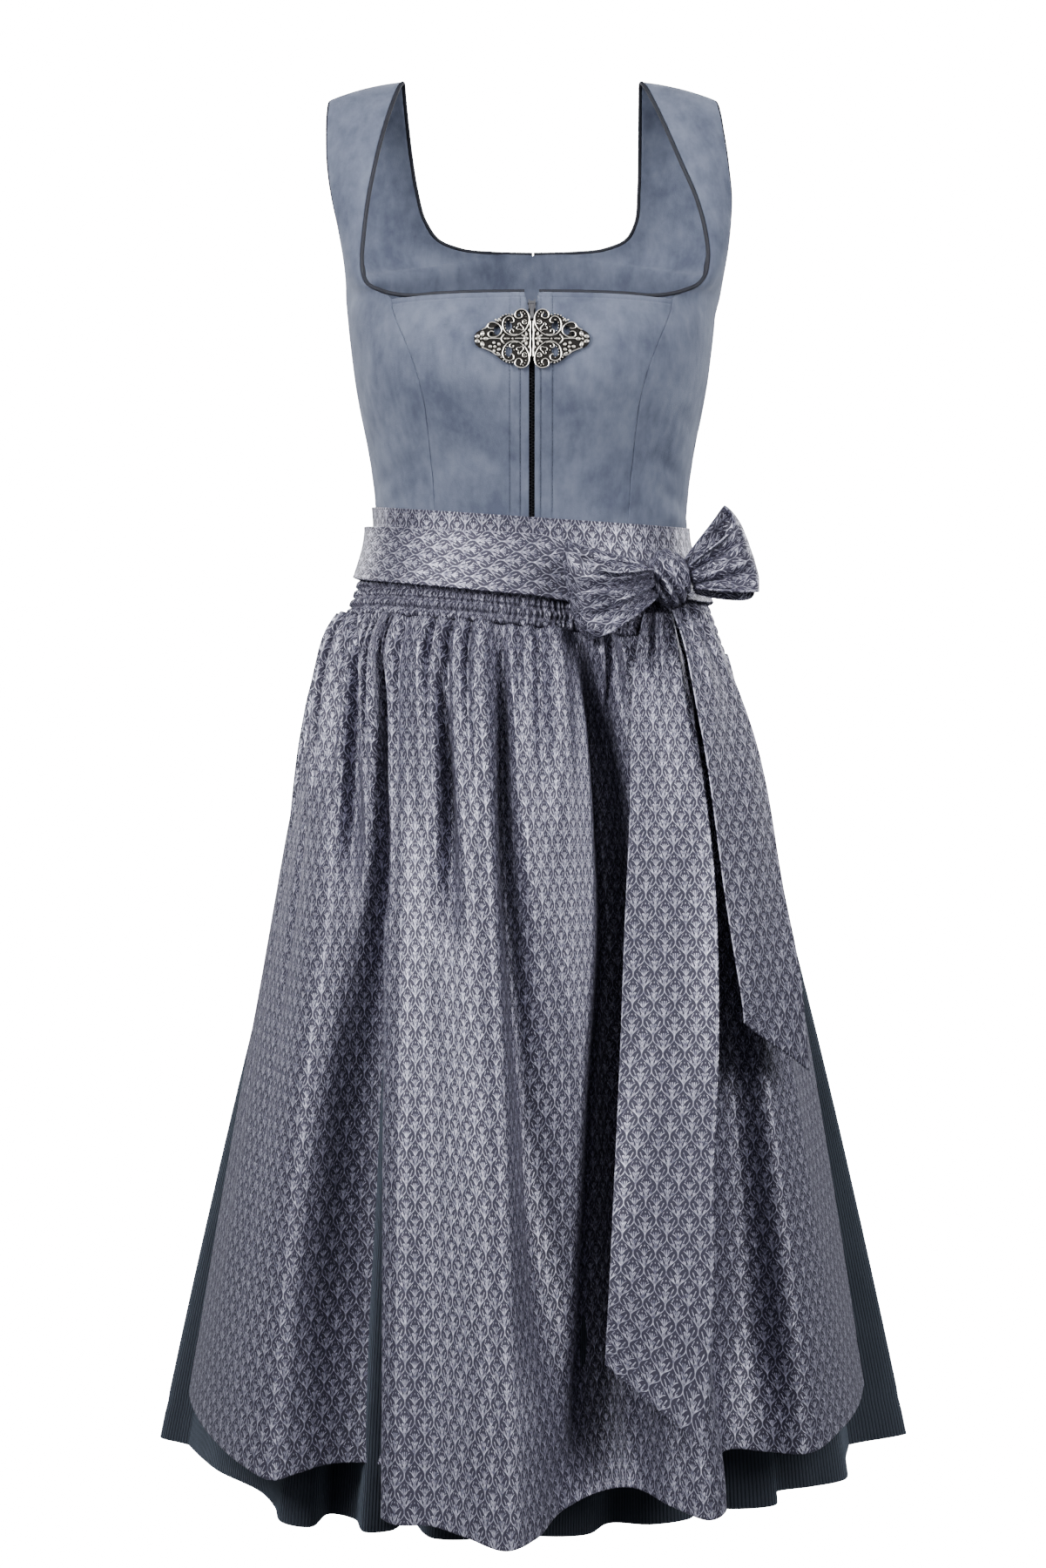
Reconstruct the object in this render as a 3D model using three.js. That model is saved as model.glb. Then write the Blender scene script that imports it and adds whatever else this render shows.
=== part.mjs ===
// A sleeveless dirndl as it hangs when worn: a velvet bodice with a front zip and a filigree clasp, a corduroy skirt, and
// a jacquard apron whose tie ends in a bow on the wearer's left. Millimetres, +Z up, the front faces -Y and +X is the
// wearer's left. The origin lies midway between the shoulder straps, at the height where they rest on the shoulders.
import * as THREE from "three";

// ---- Driving dimensions --------------------------------------------------------------------------------------------
const SEAM_GAP = 0.3; // clear space between neighbouring pieces
const VELVET = 2.4; // velvet with its backing
const CORDUROY = 1.8;
const JACQUARD = 1.5;
const TIE_CLOTH = 1.6; // the tie is doubled jacquard
const WAIST_Z = -345; // seam of bodice and skirt
const NECKLINE_Z = -176;
const ARMHOLE_Z = -182; // lowest point of the armhole
const HIP_Z = -448; // the cloth lies on the hip above and hangs free below
const YOKE_TOP_Z = -386; // apron waistband above, smocked yoke below
const YOKE_FOOT_Z = -423; // the apron's free folds start here
const SKIRT_HEM_Z = -1065;
const EDGE_DRAW = 0.22; // how far a wall's inner edges stand back, in thicknesses
const DEGREE = Math.PI / 180;

// Outer face of bodice and hip: half the width, reach to front and back of the side line, squareness of the outline.
const FIGURE = [
  { z: -138, half: 144, front: 92, back: 89, shape: 2.3 },
  { z: -176, half: 143, front: 112, back: 95, shape: 2.35 },
  { z: -205, half: 140, front: 125, back: 96, shape: 2.35 },
  { z: -235, half: 136, front: 129, back: 92, shape: 2.3 },
  { z: -265, half: 130, front: 121, back: 85, shape: 2.25 },
  { z: -300, half: 124, front: 108, back: 77, shape: 2.2 },
  { z: -345, half: 120, front: 97, back: 72, shape: 2.2 },
  { z: -385, half: 131, front: 103, back: 88, shape: 2.2 },
  { z: -424, half: 145, front: 112, back: 106, shape: 2.2 },
  { z: -450, half: 152, front: 119, back: 115, shape: 2.2 },
];
const CUP = { x: 62, z: -226, width: 34, height: 42, fullness: 5 };

// Princess seams, as distance from the centre line.
const FRONT_SEAM = [
  { z: -176, x: 105 },
  { z: -190, x: 102 },
  { z: -210, x: 94 },
  { z: -235, x: 85 },
  { z: -260, x: 79 },
  { z: -300, x: 75 },
  { z: -345, x: 72 },
];
const BACK_SEAM = [
  { z: -138, x: 134 },
  { z: -152, x: 125 },
  { z: -172, x: 111 },
  { z: -200, x: 94 },
  { z: -240, x: 76 },
  { z: -290, x: 61 },
  { z: -345, x: 50 },
];

// Heights at which the panels' rows meet at the front princess and side seams, and at the back princess seam.
const FRONT_ROWS = [-186, -198, -212, -228, -246, -268, -300, WAIST_Z];
const BACK_ROWS = [-152, -172, -195, -220, -246, -268, -300, WAIST_Z];

// Shoulder straps from the bodice to the shoulder: neck edge, arm edge and how much the strap arches between them.
const FRONT_STRAP = [
  { neckX: 116, neckY: -74, neckZ: -168.5, armX: 144.5, armY: -18, armZ: -163, arch: 5 },
  { neckX: 125, neckY: -67, neckZ: -163, armX: 145, armY: -27, armZ: -154, arch: 4.5 },
  { neckX: 130.5, neckY: -61, neckZ: -154, armX: 146, armY: -34, armZ: -144, arch: 4 },
  { neckX: 132.5, neckY: -58, neckZ: -140, armX: 148, armY: -37, armZ: -130, arch: 3.5 },
  { neckX: 131, neckY: -56, neckZ: -120, armX: 150.5, armY: -37, armZ: -112, arch: 3 },
  { neckX: 126, neckY: -53, neckZ: -93, armX: 153.5, armY: -34, armZ: -88, arch: 3 },
  { neckX: 117.5, neckY: -46, neckZ: -63, armX: 154.3, armY: -28, armZ: -62, arch: 3 },
  { neckX: 109, neckY: -35, neckZ: -34, armX: 153.5, armY: -20, armZ: -37, arch: 3 },
  { neckX: 101.5, neckY: -21, neckZ: -10, armX: 152, armY: -12, armZ: -17, arch: 2.5 },
  { neckX: 96.5, neckY: -9, neckZ: 4.5, armX: 150.8, armY: -4, armZ: -7, arch: 2 },
  { neckX: 94.5, neckY: -2.5, neckZ: 8.9, armX: 150.2, armY: 0, armZ: -4.4, arch: 2 },
  { neckX: 94, neckY: 3.5, neckZ: 9.5, armX: 150, armY: 3.5, armZ: -4, arch: 2 },
];
const BACK_STRAP = [
  { neckX: 0.2, neckY: 92, neckZ: -107, armX: 134, armY: 40, armZ: -138, arch: 14 },
  { neckX: 32, neckY: 90.5, neckZ: -106.5, armX: 135.5, armY: 47, armZ: -131, arch: 10 },
  { neckX: 60, neckY: 86, neckZ: -104, armX: 137, armY: 52, armZ: -123, arch: 6 },
  { neckX: 78, neckY: 79, neckZ: -97, armX: 139.5, armY: 56, armZ: -113, arch: 4 },
  { neckX: 86.5, neckY: 71, neckZ: -84, armX: 142.5, armY: 57, armZ: -97, arch: 3 },
  { neckX: 90.5, neckY: 60, neckZ: -62, armX: 146, armY: 52, armZ: -72, arch: 3 },
  { neckX: 92.5, neckY: 46, neckZ: -36, armX: 148.5, armY: 42, armZ: -46, arch: 3 },
  { neckX: 93.6, neckY: 29, neckZ: -11, armX: 149.6, armY: 28, armZ: -24, arch: 2.5 },
  { neckX: 94, neckY: 16, neckZ: 3.5, armX: 150, armY: 15, armZ: -10, arch: 2 },
  { neckX: 94, neckY: 9, neckZ: 8.6, armX: 150, armY: 8.5, armZ: -5, arch: 2 },
  { neckX: 94, neckY: 3.9, neckZ: 9.5, armX: 150, armY: 3.9, armZ: -4, arch: 2 },
];

// The straps stand a little askew on the shoulders: how far each height is moved towards the wearer's left.
const LEAN = [
  { z: -176, x: 0 },
  { z: -150, x: 2.2 },
  { z: -125, x: 2.6 },
  { z: -95, x: 0.8 },
  { z: -63, x: -2.6 },
  { z: -30, x: -5.2 },
  { z: 12, x: -7.4 },
];

// Hem of the skirt from side seam to side seam: place of each fold's crest and hollow, depth counted to the front.
const SKIRT_FRONT_FOLDS = [
  { x: -274, depth: -44, top: -96 },
  { x: -258, depth: -4, top: -89 },
  { x: -240, depth: 34, top: -82 },
  { x: -203, depth: 88, top: -72 },
  { x: -188, depth: 128, top: -65 },
  { x: -178, depth: 168, top: -58 },
  { x: -157, depth: 178, top: -51 },
  { x: -146, depth: 146, top: -45 },
  { x: -128, depth: 158, top: -39 },
  { x: -118, depth: 190, top: -33 },
  { x: -99, depth: 186, top: -27 },
  { x: -88, depth: 160, top: -21 },
  { x: -70, depth: 204, top: -14 },
  { x: -40, depth: 205, top: -7 },
  { x: -24, depth: 178, top: 0 },
  { x: 0, depth: 198, top: 7 },
  { x: 38, depth: 196, top: 15 },
  { x: 56, depth: 168, top: 22 },
  { x: 84, depth: 172, top: 29 },
  { x: 113, depth: 158, top: 36 },
  { x: 124, depth: 128, top: 43 },
  { x: 146, depth: 134, top: 49 },
  { x: 178, depth: 124, top: 56 },
  { x: 182, depth: 90, top: 62 },
  { x: 210, depth: 76, top: 69 },
  { x: 238, depth: 56, top: 77 },
  { x: 243, depth: 14, top: 84 },
  { x: 254, depth: -44, top: 92 },
];
const SKIRT_BACK = { folds: 15, half: 294, reach: 262, middle: 40, crest: 13, wander: 0.32 };

// Hem of the apron from edge to edge. Where the depth falls and x turns back, one fold laps over the next.
const APRON_FOLDS = [
  { x: -271, depth: -40, z: -1011, top: -97 },
  { x: -263, depth: 26, z: -1012, top: -88 },
  { x: -240, depth: 108, z: -1015, top: -78 },
  { x: -206, depth: 182, z: -1020, top: -68 },
  { x: -181, depth: 212, z: -1023, top: -61 },
  { x: -161, depth: 206, z: -1020, top: -55 },
  { x: -140, depth: 200, z: -1017, top: -50 },
  { x: -113, depth: 208, z: -1017, top: -44 },
  { x: -98, depth: 219, z: -1020, top: -42 },
  { x: -107, depth: 246, z: -1033, top: -40 },
  { x: -93, depth: 270, z: -1036, top: -35 },
  { x: -69, depth: 273, z: -1036, top: -28 },
  { x: -46, depth: 284, z: -1040, top: -21 },
  { x: -17, depth: 300, z: -1045, top: -13 },
  { x: 7, depth: 286, z: -1040, top: -5 },
  { x: 28, depth: 254, z: -1030, top: 3 },
  { x: 66, depth: 236, z: -1022, top: 14 },
  { x: 95, depth: 258, z: -1028, top: 22 },
  { x: 119, depth: 264, z: -1035, top: 30 },
  { x: 135, depth: 245, z: -1033, top: 36 },
  { x: 131, depth: 208, z: -1024, top: 40 },
  { x: 139, depth: 172, z: -1013, top: 46 },
  { x: 168, depth: 171, z: -1015, top: 53 },
  { x: 197, depth: 170, z: -1015, top: 60 },
  { x: 228, depth: 118, z: -1010, top: 68 },
  { x: 247, depth: 62, z: -1008, top: 76 },
  { x: 259, depth: 6, z: -1005, top: 84 },
];
const APRON_GATHERS = { count: 32, depth: 7, full: 0.05, gone: 0.5 };
const SMOCKING = { tucks: 60, rows: 4, relief: 2.4, inside: 0.8, base: 3.4 };

// The tie: upper and lower edge round the body, and how far it stands off the figure. Angle 0 is the front, 90 the left.
const TIE_LEFT = [
  { angle: -178, top: -347, bottom: -387, off: 7.5 },
  { angle: -135, top: -343, bottom: -383, off: 8.5 },
  { angle: -95, top: -338, bottom: -377, off: 10.5 },
  { angle: -60, top: -343, bottom: -384, off: 9.5 },
  { angle: -30, top: -349, bottom: -391, off: 8.5 },
  { angle: 0, top: -353, bottom: -399, off: 9 },
  { angle: 14, top: -361, bottom: -406, off: 10 },
  { angle: 28, top: -370, bottom: -407, off: 11 },
  { angle: 38, top: -376, bottom: -402, off: 12 },
];
const TIE_RIGHT = [
  { angle: 45, top: -377, bottom: -401, off: 22 },
  { angle: 58, top: -373, bottom: -401, off: 14 },
  { angle: 78, top: -366, bottom: -398, off: 7 },
  { angle: 110, top: -358, bottom: -397, off: 5.6 },
  { angle: 150, top: -351, bottom: -391, off: 5 },
  { angle: 200, top: -346, bottom: -385, off: 4.6 },
];

// Bow: every row of a tail gives its left and right edge.
const KNOT = { x: 101, y: -106.1, z: -386, width: 32, height: 43, depth: 29, lean: -14, grooves: 5, groove: 1.7 };
const LONG_TAIL = [
  { leftX: 84, leftDepth: 99, rightX: 104, rightDepth: 98, leftZ: -411, rightZ: -411 },
  { leftX: 76, leftDepth: 119, rightX: 112, rightDepth: 112, leftZ: -449, rightZ: -449 },
  { leftX: 72, leftDepth: 138, rightX: 121, rightDepth: 131, leftZ: -506, rightZ: -506 },
  { leftX: 69.5, leftDepth: 157, rightX: 128, rightDepth: 152, leftZ: -569, rightZ: -569 },
  { leftX: 66, leftDepth: 174, rightX: 132, rightDepth: 170, leftZ: -630, rightZ: -630 },
  { leftX: 61.5, leftDepth: 200, rightX: 131, rightDepth: 201, leftZ: -719, rightZ: -719 },
  { leftX: 56.5, leftDepth: 222, rightX: 125, rightDepth: 227, leftZ: -806, rightZ: -806 },
  { leftX: 52, leftDepth: 243, rightX: 123, rightDepth: 250, leftZ: -885, rightZ: -893 },
  { leftX: 49, leftDepth: 254, rightX: 115, rightDepth: 270, leftZ: -932, rightZ: -984 },
];
const SHORT_TAIL = [
  { leftX: 104, leftDepth: 105.5, rightX: 120, rightDepth: 94, leftZ: -409.4, rightZ: -403 },
  { leftX: 113, leftDepth: 122, rightX: 140, rightDepth: 94, leftZ: -440, rightZ: -434 },
  { leftX: 122, leftDepth: 138, rightX: 161, rightDepth: 93, leftZ: -493, rightZ: -489 },
  { leftX: 130, leftDepth: 153, rightX: 176, rightDepth: 101, leftZ: -551, rightZ: -548 },
  { leftX: 139, leftDepth: 168, rightX: 186, rightDepth: 116, leftZ: -619, rightZ: -617 },
  { leftX: 147, leftDepth: 180, rightX: 196, rightDepth: 128, leftZ: -681, rightZ: -681 },
  { leftX: 150, leftDepth: 184, rightX: 202, rightDepth: 134, leftZ: -707, rightZ: -746 },
];
const LOOPS = {
  bow_loop_right: {
    root: { x: 86.8, y: -114, z: -387 },
    far: { x: 28, y: -140, z: -399 },
    across: { x: -15, y: 0, z: 70 },
    bulge: 12,
    tip: 73,
  },
  bow_loop_left: {
    root: { x: 117.3, y: -105, z: -384 },
    far: { x: 157, y: -98, z: -361 },
    across: { x: -21, y: 4, z: 61 },
    bulge: 13,
    tip: 66,
  },
};
const LOOP_ROOT_WIDTH = 26;

// Piping, zip and clasp.
const PIPING = { neck: 1.5, armhole: 0.9, sides: 5 };
const ZIP = { gap: 2, coil: 1.5, tape: 11, top: -184, notch: 5.4, lean: 1.2 };
const SLIDER = { half: 2.5, top: 4, bottom: -4.5, base: 1.2, ear: 0.7, rise: 2.2, z: -188 };
const PULL = { half: 1.4, length: 13, thick: 0.9, eye: 0.8, stand: 1.3 };
const CLASP = { z: -214, thick: 1.8, off: 0.4, gap: 0.4, notch: 1.9, lean: 9 };

// ---- Tables and curves ---------------------------------------------------------------------------------------------
const point = (x, y, z) => new THREE.Vector3(x, y, z);
const mix = (a, b, t) => a + (b - a) * t;
const range = (count) => Array.from({ length: count + 1 }, (_, i) => i / count);

/** Columns of a table at a value of its key column, on a smooth curve through the rows. */
function rowAt(table, key, value) {
  const rising = table[1][key] > table[0][key];
  let i = table.findIndex((row) => (rising ? row[key] >= value : row[key] <= value));
  i = Math.min(Math.max(i < 0 ? table.length - 1 : i, 1), table.length - 1);
  const [before, from, to, after] = [i - 2, i - 1, i, i + 1].map(
    (n) => table[Math.min(Math.max(n, 0), table.length - 1)],
  );
  const t = THREE.MathUtils.clamp((value - from[key]) / (to[key] - from[key]), 0, 1);
  const row = {};
  for (const name of Object.keys(from)) {
    const slopeIn = (to[name] - before[name]) / 2;
    const slopeOut = (after[name] - from[name]) / 2;
    row[name] =
      (2 * t ** 3 - 3 * t ** 2 + 1) * from[name] +
      (t ** 3 - 2 * t ** 2 + t) * slopeIn +
      (3 * t ** 2 - 2 * t ** 3) * to[name] +
      (t ** 3 - t ** 2) * slopeOut;
  }
  row[key] = value;
  return row;
}

/** A table's rows numbered 0 to 1 under the name share, so that rowAt can walk along it. */
const numbered = (table) => table.map((row, i) => ({ ...row, share: i / (table.length - 1) }));

/** The point of the figure's outline at an angle and height, moved out by off. */
function figureAt(angle, z, off = 0) {
  const section = rowAt(FIGURE, "z", z);
  const power = 2 / section.shape;
  const [s, c] = [Math.sin(angle), Math.cos(angle)];
  const reach = (c > 0 ? section.front : section.back) + off;
  return point(
    Math.sign(s) * (section.half + off) * Math.abs(s) ** power,
    -Math.sign(c) * reach * Math.abs(c) ** power,
    z,
  );
}

/** The angle at which the figure's outline lies x from the centre line. */
function angleAt(x, z) {
  const section = rowAt(FIGURE, "z", z);
  return Math.asin(Math.min(Math.abs(x) / section.half, 1) ** (section.shape / 2));
}

/** A point of the bodice's front, with the fullness of the cup. */
function frontAt(x, z) {
  const p = figureAt(angleAt(x, z), z);
  const [across, up] = [(Math.abs(x) - CUP.x) / CUP.width, (z - CUP.z) / CUP.height];
  return point(x, p.y - CUP.fullness * Math.exp(-across * across - up * up), z);
}

const lean = (z) => rowAt(LEAN, "z", THREE.MathUtils.clamp(z, LEAN[0].z, LEAN.at(-1).z)).x;

// ---- Walls ---------------------------------------------------------------------------------------------------------
/** Outward normals of a grid: its rows run down, and its columns go round the figure from front to left to back. */
function normals(grid) {
  const [bottom, last] = [grid.length - 1, grid[0].length - 1];
  return grid.map((row, i) =>
    row.map((_, j) => {
      const down = grid[Math.min(i + 1, bottom)][j].clone().sub(grid[Math.max(i - 1, 0)][j]);
      const across = row[Math.min(j + 1, last)].clone().sub(row[Math.max(j - 1, 0)]);
      return down.cross(across).normalize();
    }),
  );
}

/** A closed body between an outer and an inner grid, which have the same columns and may differ in rows. */
function between(outer, inner) {
  const wide = outer[0].length;
  const layers = [outer, inner];
  const bottoms = layers.map((grid) => grid.length - 1);
  const at = (layer, i, j) => (layer * outer.length + i) * wide + j;
  const faces = [];
  const quad = (a, b, c, d) => faces.push(a, b, c, a, c, d);
  for (const j of Array(wide - 1).keys()) {
    for (const i of Array(bottoms[0]).keys()) {
      quad(at(0, i, j), at(0, i + 1, j), at(0, i + 1, j + 1), at(0, i, j + 1));
    }
    for (const i of Array(bottoms[1]).keys()) {
      quad(at(1, i, j), at(1, i, j + 1), at(1, i + 1, j + 1), at(1, i + 1, j));
    }
    quad(at(0, 0, j), at(0, 0, j + 1), at(1, 0, j + 1), at(1, 0, j));
    quad(at(0, bottoms[0], j), at(1, bottoms[1], j), at(1, bottoms[1], j + 1), at(0, bottoms[0], j + 1));
  }
  for (const [j, turned] of [[0, false], [wide - 1, true]]) {
    let [i, k] = [0, 0];
    while (i < bottoms[0] || k < bottoms[1]) {
      const outerNext = k >= bottoms[1] || (i < bottoms[0] && i / bottoms[0] <= k / bottoms[1]);
      const third = outerNext ? at(0, i + 1, j) : at(1, k + 1, j);
      const triangle = [at(0, i, j), at(1, k, j), third];
      faces.push(...(turned ? triangle.reverse() : triangle));
      if (outerNext) i += 1;
      else k += 1;
    }
  }
  const geometry = new THREE.BufferGeometry();
  const vertices = [...outer.flat(), ...inner.flat()].flatMap((p) => [p.x, p.y, p.z]);
  geometry.setAttribute("position", new THREE.Float32BufferAttribute(vertices, 3));
  geometry.setIndex(faces);
  return facingOut(geometry);
}

/** Turns a closed geometry round if it encloses a negative volume. */
function facingOut(geometry) {
  const [p, index] = [geometry.getAttribute("position"), geometry.getIndex()];
  const corner = (i) => new THREE.Vector3().fromBufferAttribute(p, index.getX(i));
  let volume = 0;
  for (let i = 0; i < index.count; i += 3) {
    volume += corner(i).dot(corner(i + 1).cross(corner(i + 2)));
  }
  if (volume < 0) {
    const flipped = Array.from(index.array).reverse();
    geometry.setIndex(flipped);
  }
  geometry.computeVertexNormals();
  return geometry;
}

/** A cloth wall: the grid is its outer face, and the inner face is a little smaller, so that seams stay clear. */
function wall(grid, thickness, out = normals(grid)) {
  const inner = grid.map((row, i) => row.map((p, j) => p.clone().addScaledVector(out[i][j], -thickness)));
  const draw = (p, next) => p.add(next.clone().sub(p).setLength(EDGE_DRAW * thickness));
  const shrink = (line) => {
    const [second, beforeLast] = [line[1].clone(), line.at(-2).clone()];
    draw(line[0], second);
    draw(line.at(-1), beforeLast);
  };
  inner.forEach(shrink);
  inner[0].forEach((_, j) => shrink(inner.map((row) => row[j])));
  return between(grid, inner);
}

/** Mirrors a grid to the other side and keeps its columns running towards the wearer's left. */
const mirrored = (grid) => grid.map((row) => row.map((p) => point(-p.x, p.y, p.z)).reverse());

const leaned = (grid) => grid.map((row) => row.map((p) => point(p.x + lean(p.z), p.y, p.z)));

/** The line just outside an edge of the cloth, from the edge's points, their inner neighbours and their normals. */
const beside = (line, inner, out, distance) =>
  line.map((p, i) => {
    const along = line[Math.min(i + 1, line.length - 1)].clone().sub(line[Math.max(i - 1, 0)]);
    const away = along.cross(out[i]).setLength(distance);
    if (away.dot(inner[i].clone().sub(p)) > 0) away.negate();
    return { at: away.add(p).addScaledVector(out[i], -VELVET / 2), out: out[i] };
  });

/** The line just outside one column of a grid. */
function besideColumn(grid, column, neighbour, distance) {
  const out = normals(grid);
  return beside(
    grid.map((row) => row.at(column)),
    grid.map((row) => row.at(neighbour)),
    out.map((row) => row.at(column)),
    distance,
  );
}

/** The line just outside the top row of a grid. */
const besideTop = (grid, distance) => beside(grid[0], grid[1], normals(grid)[0], distance);

/** A closed cord of PIPING.sides sides along a line of points, each with the direction that faces out. */
function cord(line, radius) {
  const rings = line.map(({ at, out }, i) => {
    const along = line[Math.min(i + 1, line.length - 1)].at.clone().sub(line[Math.max(i - 1, 0)].at);
    const up = out.clone().projectOnPlane(along.normalize()).normalize();
    const side = along.cross(up);
    return range(PIPING.sides).slice(1).map((turn) => {
      const angle = 2 * Math.PI * turn;
      return at
        .clone()
        .addScaledVector(up, radius * Math.sin(angle))
        .addScaledVector(side, radius * Math.cos(angle));
    });
  });
  const faces = [];
  const at = (i, j) => i * PIPING.sides + (j % PIPING.sides);
  for (const j of Array(PIPING.sides).keys()) {
    for (const i of Array(rings.length - 1).keys()) {
      faces.push(at(i, j), at(i + 1, j), at(i + 1, j + 1), at(i, j), at(i + 1, j + 1), at(i, j + 1));
    }
    const last = rings.length - 1;
    if (j > 1) faces.push(at(0, 0), at(0, j - 1), at(0, j), at(last, 0), at(last, j), at(last, j - 1));
  }
  const geometry = new THREE.BufferGeometry();
  const vertices = rings.flat().flatMap((p) => [p.x, p.y, p.z]);
  geometry.setAttribute("position", new THREE.Float32BufferAttribute(vertices, 3));
  geometry.setIndex(faces);
  return facingOut(geometry);
}

// ---- Bodice --------------------------------------------------------------------------------------------------------
/** Distance of the front edge from the centre line: a notch opens at the top of the zip. */
const frontEdge = (z) =>
  mix(ZIP.gap, ZIP.notch, THREE.MathUtils.smoothstep(z, ZIP.top - 6, NECKLINE_Z));

/** Centre front from the zip to the princess seam, side +1 for the wearer's left. */
function centreFront(side) {
  const grid = [NECKLINE_Z, ...FRONT_ROWS].map((z) =>
    range(6).map((u) => frontAt(side * mix(frontEdge(z), rowAt(FRONT_SEAM, "z", z).x - SEAM_GAP / 2, u), z)),
  );
  return side > 0 ? grid : grid.map((row) => row.reverse());
}

/** A row of a strap: from the neck edge to the arm edge, arched outwards. */
function strapRow(section, columns, outward) {
  return range(columns).map((u) => {
    const bow = section.arch * 4 * u * (1 - u);
    const p = point(
      mix(section.neckX, section.armX, u),
      mix(section.neckY, section.armY, u),
      mix(section.neckZ, section.armZ, u),
    );
    return p.addScaledVector(outward(section), bow);
  });
}

/** Outward direction of a strap's middle: level on the chest, straight up on the shoulder. */
const strapOut = (section) => {
  const rise = THREE.MathUtils.smoothstep(section.neckZ, -60, 8);
  const forward = Math.sign(section.neckY + section.armY - 8) || -1;
  return point(0.35, forward * (1 - rise), rise + 0.05).normalize();
};

/** Side front of the wearer's left with its strap, from princess seam and neckline to side seam and armhole. */
function sideFront() {
  const columns = 5;
  const body = [NECKLINE_Z, ...FRONT_ROWS].map((z) =>
    range(columns).map((u) => {
      const seam = angleAt(rowAt(FRONT_SEAM, "z", z).x + SEAM_GAP / 2, z);
      const armhole = 7 * DEGREE * THREE.MathUtils.smoothstep(z, ARMHOLE_Z, -168);
      const side = 90 * DEGREE - SEAM_GAP / 2 / 140 - armhole;
      const p = figureAt(mix(seam, side, u), z);
      return u < 0.5 ? frontAt(p.x, z) : p.setY(mix(frontAt(p.x, z).y, p.y, 2 * u - 1));
    }),
  );
  const strap = [...FRONT_STRAP].reverse().map((row) => strapRow(row, columns, strapOut));
  return [...strap, ...body];
}

/** Back of the wearer's left with its strap, from the centre back to the back princess seam and armhole. */
function back() {
  const columns = 6;
  const body = BACK_ROWS.map((z) =>
    range(columns).map((u) => {
      const seam = Math.PI - angleAt(rowAt(BACK_SEAM, "z", z).x - SEAM_GAP / 2, z);
      const centre = Math.PI - angleAt(SEAM_GAP / 2, z);
      return figureAt(mix(centre, seam, u), z);
    }),
  );
  const strap = [...BACK_STRAP].reverse().map((row) => strapRow(row, columns, strapOut));
  return [...strap, ...body].map((row) => row.reverse());
}

/** Side back of the wearer's left, between the side seam and the back princess seam, under the armhole. */
function sideBack() {
  const atSide = [ARMHOLE_Z, ...FRONT_ROWS];
  const atBack = [BACK_SEAM[0].z - 1, ...BACK_ROWS];
  return atSide.map((_, i) =>
    range(4).map((u) => {
      const z = mix(atSide[i], atBack[i], u ** 1.6);
      const seam = Math.PI - angleAt(rowAt(BACK_SEAM, "z", z).x + SEAM_GAP / 2, z);
      return figureAt(mix(90 * DEGREE + SEAM_GAP / 2 / 140, seam, u), z);
    }),
  );
}

/** The neckline's piping of the wearer's left: along the front, up the front strap and down the back strap. */
function neckPiping(front, strapFront, strapBack) {
  const away = PIPING.neck + SEAM_GAP;
  const frontEdgeLine = besideTop(front, away).slice(0, -1);
  const up = besideColumn(strapFront.slice(0, FRONT_STRAP.length + 1), 0, 1, away).reverse();
  const down = besideColumn(strapBack.slice(0, BACK_STRAP.length), -1, -2, away);
  return cord([...frontEdgeLine, ...up.slice(1), ...down], PIPING.neck);
}

/** The armhole's piping of the wearer's left: down the front strap, under the arm and up the back strap. */
function armholePiping(strapFront, flank, strapBack) {
  const away = PIPING.armhole + SEAM_GAP;
  const down = besideColumn(strapFront.slice(0, FRONT_STRAP.length + 1), -1, -2, away);
  const under = besideTop(flank, away).slice(1, -1);
  const up = besideColumn(strapBack.slice(0, BACK_STRAP.length + 1), 0, 1, away).slice(0, -1).reverse();
  return cord([...down, ...under, ...up], PIPING.armhole);
}

// ---- Skirt and apron -----------------------------------------------------------------------------------------------
/** How far the cloth has spread from hip to hem: evenly, a little quicker at first. */
const spreadAt = (t) => t * (1.15 - 0.15 * t);

/** A smooth curve through the folds at the hem and the matching angle at the top, by share of the hem's length. */
function hemCurve(folds) {
  const hem = new THREE.CatmullRomCurve3(
    folds.map((f) => point(f.x, -f.depth, f.z ?? SKIRT_HEM_Z)),
    false,
    "centripetal",
  );
  hem.arcLengthDivisions = 600;
  const tops = numbered(folds);
  return (share) => {
    const place = hem.getUtoTmapping(share);
    return { foot: hem.getPoint(place), top: rowAt(tops, "share", place).top * DEGREE };
  };
}

/** Cloth that lies on the hip and hangs from it in folds, with fine gathers that fade out below the top edge. */
function hanging({ folds, columns, heights, topZ, off, slant, gathers, thickness }) {
  const hem = hemCurve(folds);
  const smooth = heights.map((t) =>
    range(columns).map((share) => {
      const { foot, top } = hem(share);
      const z = mix(topZ + slant(figureAt(top, topZ)), foot.z, t);
      const hip = figureAt(top, Math.max(z, HIP_Z), off);
      const spread = spreadAt(Math.max(0, (HIP_Z - z) / (HIP_Z - foot.z)));
      return point(mix(hip.x, foot.x, spread), mix(hip.y, foot.y, spread), z);
    }),
  );
  const out = normals(smooth);
  const gathered = smooth.map((row, i) =>
    row.map((p, j) => {
      const rise = mix(0.3, 1, Math.min(1, heights[i] / gathers.full));
      const fade = Math.max(0, 1 - heights[i] / gathers.gone) ** 1.5;
      const wave = (1 + Math.cos((2 * Math.PI * gathers.count * j) / columns)) / 2;
      return p.clone().addScaledVector(out[i][j], gathers.depth * rise * fade * wave);
    }),
  );
  return wall(gathered, thickness, out);
}

const level = () => 0;

/** The apron's waist and yoke hang a little lower on the wearer's left. */
const slanting = (p) => -0.1 * p.x;

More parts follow.
